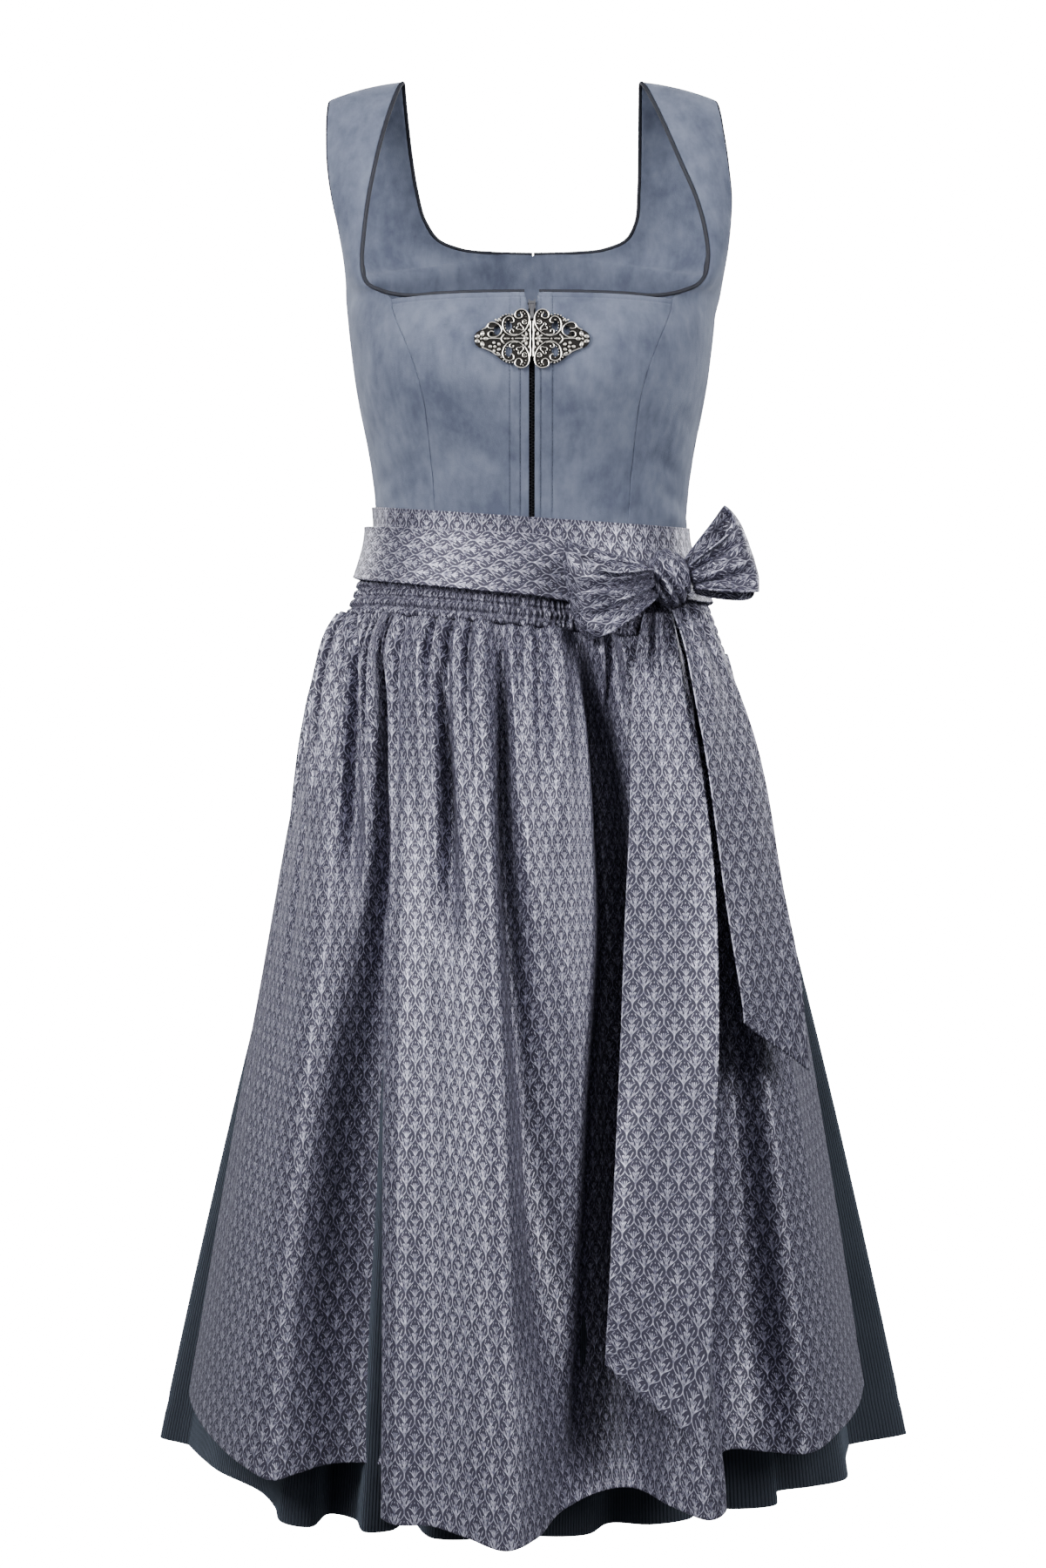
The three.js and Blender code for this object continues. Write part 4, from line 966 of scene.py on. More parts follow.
# ---- Bodice --------------------------------------------------------------------------------------------------------
FRONT_STITCH_X = (-16.3, -8.5, 6.6, 15.2)
FACING = 4.2  # depth of the stitched facing along the neckline
FRONT_CREASES = (
    (-92, -318, 38, 26, 5, -1.6),
    (-80, -332, 24, 24, 4, 1.2),
    (-70, -306, 48, 22, 5, -1.0),
    (-48, -334, -20, 20, 5, -0.8),
    (66, -330, 32, 24, 5, 0.9),
    (84, -316, -36, 26, 5, -1.4),
    (92, -334, -24, 22, 4, 1.0),
    (50, -200, 20, 26, 9, -0.7),
    (-52, -196, -16, 28, 9, -0.7),
    (30, -300, -70, 30, 7, -0.5),
)
SIDE_CREASES = (
    (104, -300, -30, 24, 6, -1.5),
    (110, -322, -24, 26, 5, -1.6),
    (112, -336, -16, 24, 4, 1.2),
    (122, -270, -42, 26, 7, -1.2),
    (-104, -304, 30, 26, 6, -1.6),
    (-110, -326, 22, 26, 5, -1.4),
    (-120, -276, 40, 24, 7, -1.1),
    (118, -176, 60, 22, 7, -0.9),
    (-120, -178, -62, 22, 7, -0.9),
)


def front_edge(z):
    """Distance of the front edge from the centre line: a notch opens at the top of the zip."""
    return mix(ZIP_GAP, ZIP_NOTCH, smooth(z, ZIP_TOP - 6, NECKLINE_Z))


def front_points(x, z):
    """The front's outer face with its placket: a raised band either side of the zip, sunk at each row of stitches."""
    grid = front_at(x, z)
    raised = 0.7 * smooth(x, -17.6, -16.2) * smooth(x, 16.4, 15.0)
    sunk = sum(1.1 * bell(x, at, 0.6) for at in FRONT_STITCH_X)
    sunk = sunk * smooth(z, WAIST_Z, WAIST_Z + 1) + 0.8 * bell(z, NECKLINE_Z - FACING, 0.6)
    return grid - points(0, raised - sunk, 0)


def centre_front(side):
    """Centre front from the zip to the princess seam, side 1 for the wearer's left."""
    facing = np.linspace(0.012, 0.04, 8)
    t = np.concatenate([[0, 0.001, 0.003, 0.006], facing, np.linspace(0.055, 0.985, 60), [0.994, 0.997, 0.999, 1]])
    z = mix(NECKLINE_Z, WAIST_Z, t)[:, None]
    placket = np.linspace(0.008, 0.26, 44)
    u = np.concatenate([[0, 0.0015, 0.004], placket, np.linspace(0.29, 0.98, 26), [0.986, 0.994, 0.998, 1]])[None, :]
    x = side * mix(front_edge(z), row_at(FRONT_SEAM, "z", z)["x"] - SEAM_GAP / 2, u)
    grid = front_points(x, np.broadcast_to(z, x.shape))
    return grid if side > 0 else grid[:, ::-1]


def strap_rows(strap, columns):
    """Rows of a strap from the shoulder down, each from the neck edge to the arm edge, arched outwards."""
    u = np.linspace(0, 1, columns + 1)[None, :]
    rows = {name: column[::-1, None] for name, column in strap.items()}
    rise = smooth(rows["neck_z"], -60, 8)
    forward = np.where(rows["neck_y"] + rows["arm_y"] - 8 < 0, -1, 1)
    out = unit(points(0.35 + 0 * rise, forward * (1 - rise), rise + 0.05))
    line = points(*(mix(rows["neck_" + k], rows["arm_" + k], u) for k in "xyz"))
    return line + out * (rows["arch"] * 4 * u * (1 - u))[..., None]


def side_front():
    """Coarse grid of the side front of the wearer's left with its strap."""
    z = np.concatenate([[NECKLINE_Z, ARMHOLE_Z], FRONT_ROWS])[:, None]
    u = np.linspace(0, 1, 6)[None, :]
    seam = angle_at(row_at(FRONT_SEAM, "z", z)["x"] + SEAM_GAP / 2, z)
    armhole = math.radians(7) * smooth(z, ARMHOLE_Z, -168)
    body = figure_at(mix(seam, math.pi / 2 - SEAM_GAP / 280 - armhole, u), z + 0 * u)
    cup = front_at(body[..., 0], z + 0 * u)[..., 1]
    body[..., 1] = mix(cup, body[..., 1], np.clip(2 * u - 1, 0, 1))
    return np.concatenate([strap_rows(FRONT_STRAP, 5), body])


def back():
    """Coarse grid of the back of the wearer's left with its strap."""
    z = BACK_ROWS[:, None]
    seam = math.pi - angle_at(row_at(BACK_SEAM, "z", z)["x"] - SEAM_GAP / 2, z)
    centre = math.pi - angle_at(SEAM_GAP / 2, z)
    body = figure_at(mix(centre, seam, np.linspace(0, 1, 7)[None, :]), z)
    return np.concatenate([strap_rows(BACK_STRAP, 6), body])[:, ::-1]


def side_back():
    """Coarse grid of the side back of the wearer's left, under the armhole."""
    u = np.linspace(0, 1, 5)[None, :] ** 1.6
    at_side = np.concatenate([[ARMHOLE_Z], FRONT_ROWS])[:, None]
    at_back = np.concatenate([[BACK_SEAM["z"][0] - 1], BACK_ROWS])[:, None]
    z = mix(at_side, at_back, u)
    seam = math.pi - angle_at(row_at(BACK_SEAM, "z", z)["x"] + SEAM_GAP / 2, z)
    seam[0] = seam[0, -1]
    return figure_at(mix(math.pi / 2 + SEAM_GAP / 280, seam, np.linspace(0, 1, 5)[None, :]), z)


def bodice_grids():
    """Fine outer faces of the bodice's panels by node name, creases included."""
    grids = {}
    for side, sign in (("left", 1), ("right", -1)):
        flip = (lambda grid: grid) if sign > 0 else mirrored
        front = centre_front(sign)
        grids["bodice_front_" + side] = creased(front, normals(front), FRONT_CREASES)
        flank = refined(leaned(flip(side_front())), 110, 22)
        grids["bodice_side_front_" + side] = creased(flank, normals(flank), SIDE_CREASES)
        grids["bodice_back_" + side] = refined(leaned(flip(back())), 90, 26)
        grids["bodice_side_back_" + side] = refined(leaned(flip(side_back())), 56, 24)
    return grids


def make_bodice():
    """Sews the eight velvet panels."""
    for name, grid in bodice_grids().items():
        held = "stretched" if "front" in name else "hung"
        cloth(name, grid, VELVET, "velvet")


def make_topstitching():
    """Stitches the placket's four rows and the facing along the neckline."""
    lines = []
    z = np.linspace(NECKLINE_Z - FACING, WAIST_Z + 8, 90)
    for x in FRONT_STITCH_X:
        line = front_points(np.full_like(z, x), z) - points(0, 0.3, 0)
        lines.append((line, np.broadcast_to((0.0, -1.0, 0.0), line.shape)))
    for sign in (1, -1):
        x = sign * np.linspace(ZIP_NOTCH + 2, 104, 60)
        line = front_points(x, np.full_like(x, NECKLINE_Z - FACING))
        out = unit(points(x / 200, -1, 0.1))
        lines.append((line, out))
    made = stitches("topstitching", lines, 2.6, 2.1, 0.42)
    finish_piece(made, "thread")


def beside(line, inner, out, distance):
    """The line just outside an edge of the cloth, at the middle of its thickness."""
    away = unit(np.cross(slopes(line, 0), out)) * distance
    inward = (away * (inner - line)).sum(-1, keepdims=True) > 0
    return np.where(inward, -away, away) + line - out * VELVET / 2


def beside_column(grid, column, neighbour, distance):
    """The line just outside one column of a grid, with its outward directions."""
    out = normals(grid)[:, column]
    return beside(grid[:, column], grid[:, neighbour], out, distance), out


def beside_top(grid, distance):
    """The line just outside the top row of a grid, with its outward directions."""
    out = normals(grid)[0]
    return beside(grid[0], grid[1], out, distance), out


def joined(*parts):
    """One line and its outward directions from several."""
    return [np.concatenate(pieces) for pieces in zip(*parts)]


def part_of(line, start=None, stop=None, step=None):
    """A stretch of a line and its outward directions."""
    return [values[start:stop:step] for values in line]


def coarse_front():
    """The centre front's coarse top rows, for the neckline."""
    z = np.concatenate([[NECKLINE_Z], FRONT_ROWS])[:, None]
    x = mix(front_edge(z), row_at(FRONT_SEAM, "z", z)["x"] - SEAM_GAP / 2, np.linspace(0, 1, 7)[None, :])
    return front_at(x, z + 0 * x)


def piping_lines():
    """Neckline and armhole lines of the wearer's left."""
    front_strap, back_strap = len(FRONT_STRAP["arch"]), len(BACK_STRAP["arch"])
    away = NECK_PIPING - TUCKED_IN
    along_front = part_of(beside_top(coarse_front(), away), 0, -1)
    up = part_of(beside_column(side_front()[: front_strap + 1], 0, 1, away), None, None, -1)
    down = beside_column(back()[:back_strap], -1, -2, away)
    neck = joined(along_front, part_of(up, 1), down)
    away = ARMHOLE_PIPING - TUCKED_IN
    down = beside_column(side_front()[: front_strap + 1], -1, -2, away)
    under = part_of(beside_top(side_back(), away), 0, -1)
    up = part_of(beside_column(back()[: back_strap + 1], 0, 1, away), 0, -1)
    return neck, joined(down, under, part_of(up, None, None, -1))


def make_piping():
    """Lays the twisted neckline cord and the thin armhole piping."""
    neck, armhole = piping_lines()
    # Name, line, radius, spacing of the rings, points round, twist, ridges and their relief.
    shapes = (
        ("neck_piping", neck, NECK_PIPING, 0.75, 16, 1.7, 4, 0.42),
        ("armhole_piping", armhole, ARMHOLE_PIPING, 1.6, 10, 1.2, 2, 0.12),
    )
    for name, (line, out), radius, step, sides, twist, ridges, relief in shapes:
        keys = arc(line, 0)
        at = np.arange(0, keys[-1], step)
        fine_line, fine_out = through(line, keys, at), unit(through(out, keys, at))
        for side, sign in (("left", 1), ("right", -1)):
            flip = np.array([sign, 1, 1])
            placed = leaned(fine_line * flip)
            made = tube(f"{name}_{side}", placed, fine_out * flip, radius, sides, sign * twist, ridges, relief)
            finish_piece(made, "piping", f"{name}_{side}")


# ---- Skirt and apron -----------------------------------------------------------------------------------------------
def catmull_rom(knots, place):
    """Points on the centripetal curve through knots, at places from 0 to 1."""
    padded = np.concatenate([2 * knots[:1] - knots[1:2], knots, 2 * knots[-1:] - knots[-2:-1]])
    spot = np.asarray(place) * (len(knots) - 1)
    i = np.minimum(spot.astype(int), len(knots) - 2)
    t = (spot - i)[:, None]
    a, b, c, d = (padded[i + k] for k in range(4))
    gap = [np.sqrt(np.linalg.norm(end - start, axis=1, keepdims=True)) for start, end in ((a, b), (b, c), (c, d))]
    slope_in = gap[1] * ((b - a) / gap[0] - (c - a) / (gap[0] + gap[1]) + (c - b) / gap[1])
    slope_out = gap[1] * ((c - b) / gap[1] - (d - b) / (gap[1] + gap[2]) + (d - c) / gap[2])
    return hermite(t, b, slope_in, c, slope_out)


def hem_line(folds, share):
    """Points of the hem by share of its length, the angles where they start at the top, and the hem's length."""
    knots = points(folds["x"], -folds["depth"], folds.get("z", SKIRT_HEM_Z))
    steps = np.linspace(0, 1, 601)
    lengths = arc(catmull_rom(knots, steps), 0)
    place = np.interp(share * lengths[-1], lengths, steps)
    return catmull_rom(knots, place), np.radians(row_at(numbered(folds), "share", place)["top"]), lengths[-1]


def hanging(folds, share, heights, top_z, off, slant):
    """Cloth that lies on the hip and hangs from it in folds: its smooth face and hem length."""
    foot, top, width = hem_line(folds, share)
    foot, top, t = foot[None], top[None], heights[:, None]
    z = mix(top_z + slant * figure_at(top, top_z)[..., 0], foot[..., 2], t)
    hip = figure_at(top + 0 * t, np.maximum(z, HIP_Z), off)
    drop = np.maximum(0, (HIP_Z - z) / (HIP_Z - foot[..., 2]))
    spread = drop * (1.15 - 0.15 * drop)
    grid = points(mix(hip[..., 0], foot[..., 0], spread), mix(hip[..., 1], foot[..., 1], spread), z)
    return grid, width


def ridge(phase, sharp=0.75):
    """Round gathers with narrow hollows between them, one for each whole number."""
    return np.abs(np.sin(np.pi * phase)) ** sharp


def slit(phase, width):
    """1 on the cloth and 0 in a narrow slit, one for each whole number."""
    return 1 - bell(phase % 1, 0.5, width)


def gathers(share, t, count, seed):
    """Fine gathers that merge into fewer, softer ones on the way down, from 0 in the hollows to 1."""
    drift = wave(share, (0.24, 5.3, seed), (0.13, 11.7, 0.3 + seed), (0.06, 23.1, 0.6))
    strength = 0.72 + wave(share, (0.2, 7.9, 0.2 + seed), (0.14, 17.3, 0.5))
    phase = count * share + drift
    ending = np.clip(1.15 - t / (0.15 + 0.1 * strength), 0, 1)
    fine = slit(phase, 0.21) * (0.7 + 0.3 * ridge(phase + 0.5)) * strength * ending
    middle = ridge(count / 2 * share + drift * 0.7 + 0.25, 1.1) * smooth(t, 0.01, 0.12) * np.clip(1 - t / 0.5, 0, 1)
    wide = ridge(count / 4 * share + drift * 0.5 + 0.1, 1.5) * smooth(t, 0.06, 0.3) * np.clip(1 - t / 0.95, 0, 1)
    return fine + 0.55 * middle * (0.6 + 0.5 * strength) + 0.42 * wide


def back_folds():
    """Crests and hollows of the back of the skirt, unevenly spaced."""
    first = {name: column[-1] for name, column in SKIRT_FRONT_FOLDS.items()}
    last = {name: column[0] for name, column in SKIRT_FRONT_FOLDS.items()}
    start = math.degrees(math.atan2(first["x"], first["depth"] + BACK_MIDDLE))
    end = 360 + math.degrees(math.atan2(last["x"], last["depth"] + BACK_MIDDLE))
    i = np.arange(2 * BACK_FOLDS + 1)
    inner = (i > 0) & (i < 2 * BACK_FOLDS)
    angle = np.radians(mix(start, end, (i + BACK_WANDER * np.sin(2.4 * i) * inner) / (2 * BACK_FOLDS)))
    crest = np.where(i % 2, 1, -1) * BACK_CREST * (0.8 + 0.3 * np.sin(1.7 * i))
    x = (BACK_HALF + crest) * np.sin(angle)
    depth = (BACK_REACH + crest) * np.cos(angle) - BACK_MIDDLE
    top = mix(first["top"], 360 + last["top"], i / (2 * BACK_FOLDS))
    x[[0, -1]] = first["x"], last["x"]
    depth[[0, -1]] = first["depth"] - SEAM_GAP, last["depth"] - SEAM_GAP
    top[[0, -1]] = first["top"] + SEAM_GAP / 2, 360 + last["top"] - SEAM_GAP / 2
    return {"x": x, "depth": depth, "top": top}


def under_apron(x, z):
    """How far the skirt gives way inwards under the apron's hollows."""
    return (16 + 30 * bell(x, 50, 24)) * smooth(z, -425, -510) * smooth(z, -1020, -820) * smooth(160 - np.abs(x), 0, 40)


def make_skirt():
    """Hangs the corduroy skirt's front and back, which lie flat and run into each other at the side seams."""
    halves = (("skirt_front", SKIRT_FRONT_FOLDS, 0.1, 1), ("skirt_back", back_folds(), 0.55, -1))
    for name, folds, seed, facing in halves:
        share, t = shares(360, SKIRT_WIDTH), shares(72, SKIRT_LENGTH)
        smooth_grid, width = hanging(folds, share, t, WAIST_Z - SEAM_GAP, SKIRT_OFF, 0)
        inward = 1 - np.minimum(share, 1 - share) * width / SIDE_SEAM_REACH
        at_seam = smooth(inward, 0, 1)[None, :]
        sideways = np.array([1.0, 0, 0]) * (np.where(share < 0.5, -1, 1) * facing)[None, :, None]
        out = unit(mix(normals(smooth_grid), sideways, at_seam[..., None]))
        s, down = share[None, :], t[:, None]
        lift = SKIRT_RELIEF * gathers(s, down * 1.3, SKIRT_GATHERS, seed) * np.minimum(1, 0.3 + down * 40)
        sway = wave(s, (0.9, 9.3, seed), (0.6, 15.1, 0.4)) * np.sin(np.pi * down) ** 2
        hem = -0.45 * bell((1 - down) * SKIRT_LENGTH, SKIRT_TURN_UP, 0.9)
        top = 1.2 * smooth(smooth_grid[..., 2], WAIST_Z - 9, WAIST_Z)
        grid = smooth_grid + out * ((lift + sway) * (1 - at_seam) + hem + top)[..., None]
        x = grid[..., 0]
        if name == "skirt_front":
            grid = grid + points(0, under_apron(x, grid[..., 2]), 0)
        else:
            tucked = SEAM_GAP + SIDE_SEAM_TUCK
            grid = grid - points(SIDE_SEAM_DEPTH * np.sign(x), tucked, 0) * at_seam[..., None]
        cloth(
            name, grid, CORDUROY, "corduroy", uv=laid_flat(grid, width), out=out
        )


def make_apron_skirt():
    """Hangs the apron from its yoke in fine gathers and large folds."""
    share, t = shares(510, APRON_WIDTH), shares(84, APRON_LENGTH)
    smooth_grid, width = hanging(APRON_FOLDS, share, t, YOKE_FOOT_Z - SEAM_GAP, APRON_OFF, -YOKE_SLANT)
    x, z = smooth_grid[..., 0], smooth_grid[..., 2]
    out = normals(smooth_grid)
    s, down = share[None, :], t[:, None]
    lift = APRON_RELIEF * gathers(s, down, APRON_GATHERS, 0.35) * mix(0.7, 1, np.minimum(1, down / 0.02))
    flat_left = 0.8 * smooth(s, 0.8, 0.9) * smooth(down, 0.4, 0.1)
    flat_right = 0.5 * smooth(s, 0.14, 0.04) * smooth(down, 0.2, 0.05)
    lift = lift * (1 - flat_left - flat_right)
    for hollow in HOLLOWS:
        at = row_at(hollow, "z", z)
        open_here = bell(x, at["x"], np.where(x < at["x"], at["left"], at["right"]))
        lift = lift - (at["depth"] + 0.5 * np.minimum(at["depth"] / 8, 1) * lift) * open_here
    lift = lift - 2.5 * smooth(s, 0.82, 0.9) * smooth(down, 0.14, 0.02)
    # A hollow slows down as it nears the skirt behind it, and goes mostly straight back.
    room = 1.2 + 0.125 * np.maximum(0, YOKE_FOOT_Z - z) + under_apron(x, z)
    lift = np.where(lift < -room / 2, 0.75 * room**2 / (room - 2 * lift - room / 2) - room, lift)
    straight = np.where(lift < 0, 0.4, 1)
    out = unit(out * np.stack([straight, 1 + 0 * lift, straight], -1))
    hem = -0.3 * bell((1 - down) * APRON_LENGTH, APRON_TURN_UP, 0.8)
    grid = smooth_grid + out * (lift + hem)[..., None]
    cloth(
        "apron_skirt", grid, JACQUARD, "jacquard", uv=laid_flat(grid, width), out=out
    )
    row = np.argmin(np.abs((1 - t) * APRON_LENGTH - APRON_TURN_UP))
    line, away = grid[row, 4:-4], out[row, 4:-4]
    made = stitches("apron_hem_stitching", [(line + away * 0.05, away)], 3.0, 2.3, 0.4)
    finish_piece(made, "pale_thread")


def make_yoke():
    """Smocks the apron's yoke: narrow tucks held by rows of stitching, over a plain inner face."""
    start, end = math.radians(APRON_FOLDS["top"][0] - 1), math.radians(APRON_FOLDS["top"][-1] + 1)
    u = np.linspace(0, 1, TUCKS * TUCK_POINTS + 1)[None, :]
    v = np.linspace(0, 1, TUCK_ROWS * TUCK_POINTS + 1)[:, None]

    def grid_at(v, off):
        angle, z = mix(start, end, u) + 0 * v, mix(YOKE_TOP_Z - SEAM_GAP, YOKE_FOOT_Z, v) + 0 * u
        z = z - YOKE_SLANT * figure_at(angle, z)[..., 0]
        return figure_at(angle, z, off)

    sway = wave(u, (0.22, 31.3, 0.1), (0.14, 67.0, 0.4)) + 0.18 * np.sin(2 * np.pi * TUCK_ROWS / 2 * v)
    puff = slit(TUCK_ROWS * v + 0.5, 0.15)
    tuck = ridge(TUCKS * u + sway, 0.9) * (0.15 + 0.85 * puff) * (0.85 + wave(u, (0.15, 41.0, 0.2)))
    flatter = 1 - 0.7 * smooth(u, 0.76, 0.88)
    outer = grid_at(v, (TUCK_BASE + TUCK_RELIEF * tuck) * flatter)
    inner = grid_at(v[[0, -1]], YOKE_INSIDE)
    flat = laid_flat(outer, YOKE_CLOTH)
    made = shell("apron_yoke", outer, inner, flat, flat[[0, -1]])
    finish_piece(made, "jacquard", "apron_yoke")
    declare_sheet(outer)


def make_waistband():
    """Fits the apron's band round the waist."""
    u, v = shares(150, 400)[None, :], shares(18, 45)[:, None]
    angle = mix(math.radians(APRON_FOLDS["top"][0] - 1), math.radians(APRON_FOLDS["top"][-1] + 3), u)
    foot = figure_at(angle, YOKE_TOP_Z)
    rim = BAND_RIM - BAND_FALL * foot[..., 0] + BAND_RISE * foot[..., 1]
    z = mix(rim, YOKE_TOP_Z - YOKE_SLANT * foot[..., 0], v)
    grid = figure_at(angle + 0 * v, z, BAND_OFF + BAND_FLARE * v)
    out = normals(grid)
    grid = grid + out * wave(u, (0.35, 4.3, 0.1), (0.25, 9.1, 0.5))[..., None] * (1 - v[..., None])
    cloth("apron_waistband", grid, JACQUARD, "jacquard")


def tie_band(name, columns, count, rows, creases):
    """One side of the tie: its creases are ridges along it, given by place across, start and full angle, and rise."""
    start, end = columns["angle"][0], columns["angle"][-1]
    u, v = shares(count, 300)[None, :], shares(rows, 40)[:, None]
    section = row_at(columns, "angle", mix(start, end, u))
    z = mix(section["top"], section["bottom"], v)
    grid = figure_at(np.radians(section["angle"]) + 0 * v, z, section["off"] + 0 * v)
    lift = 0
    for across, begin, full, rise in creases:
        lift = lift + rise * smooth(section["angle"], begin, full) * bell(v, across, 0.07)
    edge = 0.25 * (bell(v, 0.07, 0.03) + bell(v, 0.93, 0.03))
    grid = grid + normals(grid) * (lift - edge)[..., None]
    cloth(name, grid, TIE_CLOTH, "jacquard", sideways=True)


def make_tie():
    """Wraps the doubled tie round the waist."""
    left = ((0.22, -12, 34, 1.6), (0.42, 2, 36, -1.5), (0.6, -4, 36, 1.8), (0.8, 8, 36, -1.2), (0.5, -60, -20, 0.6))
    right = ((0.3, 90, 50, 1.3), (0.55, 80, 48, -1.2), (0.75, 100, 52, 1.0), (0.5, 130, 180, 0.5))
    tie_band("tie_left", TIE_LEFT, 220, 26, left)
    tie_band("tie_right", TIE_RIGHT, 160, 24, right)


# ---- Bow -----------------------------------------------------------------------------------------------------------
def tail_grid(columns, rows, count):
    """A tail of the bow from its table of edges, slightly dished across."""
    length = arc(points(columns["left_x"], -columns["left_depth"], columns["left_z"])[:, None], 0)[-1, 0]
    section = row_at(numbered(columns), "share", shares(rows, length))
    left = points(section["left_x"], -section["left_depth"], section["left_z"])[:, None]
    right = points(section["right_x"], -section["right_depth"], section["right_z"])[:, None]
    u = shares(count, 60)[None, :]
    share = section["share"][:, None]
    grid = mix(left, right, u[..., None])
    grid[..., 1] -= 3 * np.sin(np.pi * u) * (1 - 0.4 * share)
    return grid, share, u


def make_tails():
    """Drops the bow's two tails."""
    tails = (("bow_tail_long", LONG_TAIL, 150, -613), ("bow_tail_short", SHORT_TAIL, 100, 0))
    for name, columns, rows, seam_z in tails:
        grid, share, u = tail_grid(columns, rows, 40)
        fold = 2.6 * np.cos(2 * np.pi * (2.1 * u + 0.1)) + 1.3 * np.cos(2 * np.pi * (4.3 * u + 0.3))
        lift = fold * smooth(share, 0.34, 0.02) * smooth(share, -0.02, 0.03)
        lift = lift + 0.9 * np.cos(2 * np.pi * (1.2 * u + 2.2 * share)) * smooth(share, 0.1, 0.4)
        edge = -0.3 * (bell(u, 0.06, 0.016) + bell(u, 0.94, 0.016))
        seam = -0.5 * bell(grid[..., 2], seam_z, 0.9)
        grid = grid + normals(grid) * (lift + edge + seam)[..., None]
        cloth(name, grid, TIE_CLOTH, "jacquard")


def loop_grid(root, far, across, bulge, tip, dip, belly):
    """A loop of the bow: the ribbon leaves the knot in front, turns at the far end and comes back behind."""
    root, along = np.array(root, float), np.array(far, float) - np.array(root, float)
    width = unit(np.array(across, float))
    out = unit(np.cross(width, along))
    out = -out if out[1] > 0 else out
    share, u = shares(72, 150)[:, None], shares(36, 70)[None, :]
    q = 1 - np.abs(2 * share - 1)
    side = np.where(share < 0.5, 1, -1)
    ribbon = mix(LOOP_ROOT_WIDTH, tip, np.sin(np.pi / 2 * np.minimum(1, q * 1.15)) ** 0.9)
    front = side > 0
    fullness = np.where(front, bulge * 1.4, bulge / 2)
    stand = side * (3 * (1 - q) + fullness * np.sin(np.pi * q**0.9) ** 0.8)
    pleats = 3.2 * np.cos(4 * np.pi * u) + 1.8 * np.cos(2 * np.pi * (4.6 * u + 0.2)) + 0.6 * np.cos(16 * np.pi * u)
    crease = (1 - q) ** 0.8 * pleats
    soft = 1.6 * np.sin(2 * np.pi * (1.3 * u + 1.1 * q + 0.2)) * np.sin(np.pi * q)
    reach = np.sin(q * np.pi / 2) * (1.03 - 0.14 * np.abs(2 * u - 1) ** 4 * smooth(q, 0.3, 1))
    opened = np.sin(np.pi / 2 * np.minimum(1, (1 - q) * 4)) * mix(0.35, 1, np.sin(np.pi / 2 * np.minimum(1, q * 2)))
    lowered = np.where(front, dip * (1 - u) ** 1.2, 0) * opened
    sagged = belly * np.sin(np.pi * q) * u**2
    curl = np.where(front, 0.3 * dip * (1 - u) ** 3, 0) * opened
    grid = root + along * reach[..., None] + width * ((0.5 - u) * ribbon - lowered - sagged)[..., None]
    return grid + out * (stand + side * (crease + soft) + curl)[..., None]


def make_loops():
    """Turns the bow's two loops."""
    for name, sizes in LOOPS.items():
        grid = loop_grid(**sizes)
        cloth(name, grid, TIE_CLOTH, "jacquard")


def make_knot():
    """Wraps the knot: a leaning egg with the tie's folds running over it."""
    turn, rise = np.linspace(0, 2 * np.pi, 81)[:-1][None, :], np.linspace(0, np.pi, 49)[1:-1][:, None]
    egg = points(np.cos(turn) * np.sin(rise), np.sin(turn) * np.sin(rise), np.cos(rise) + 0 * turn)
    skew = egg[..., 0] + 0.28 * egg[..., 2]
    folds = np.abs(np.sin(np.pi * (2.1 * skew + 0.3 + 0.2 * np.sin(2.2 * egg[..., 2])))) ** 0.6
    fine = 0.04 * np.cos(15 * skew + 3 * egg[..., 2])
    swell = 1 - (0.26 * (1 - folds) - fine) * np.sin(rise) ** 0.6
    grid = egg * np.array(KNOT_SIZE) / 2 * np.stack([0 * swell + 1, swell, swell], -1)
    lean = math.radians(KNOT_LEAN)
    x = grid[..., 0] * math.cos(lean) + grid[..., 2] * math.sin(lean)
    z = grid[..., 2] * math.cos(lean) - grid[..., 0] * math.sin(lean)
    grid = points(x, grid[..., 1], z) + np.array(KNOT_AT)
    ids = np.arange(grid.shape[0] * grid.shape[1]).reshape(grid.shape[:2])
    poles = np.stack([grid[0].mean(axis=0), grid[-1].mean(axis=0)])
    faces = tiles(np.concatenate([ids, ids[:, :1]], 1)).tolist()
    top, bottom = ids.size, ids.size + 1
    faces += [[top, a, b] for a, b in zip(ids[0], np.roll(ids[0], -1))]
    faces += [[bottom, b, a] for a, b in zip(ids[-1], np.roll(ids[-1], -1))]
    flat = np.stack([np.broadcast_to(turn * 16, grid.shape[:2]), np.broadcast_to(-rise * 20, grid.shape[:2])], -1)
    uv = np.concatenate([flat.reshape(-1, 2), [[50, 0], [50, -63]]])
    made = mesh_object("bow_knot", np.concatenate([grid.reshape(-1, 3), poles]), faces, uv)
    facing_out(made)
    finish_piece(made, "jacquard", "bow_knot")


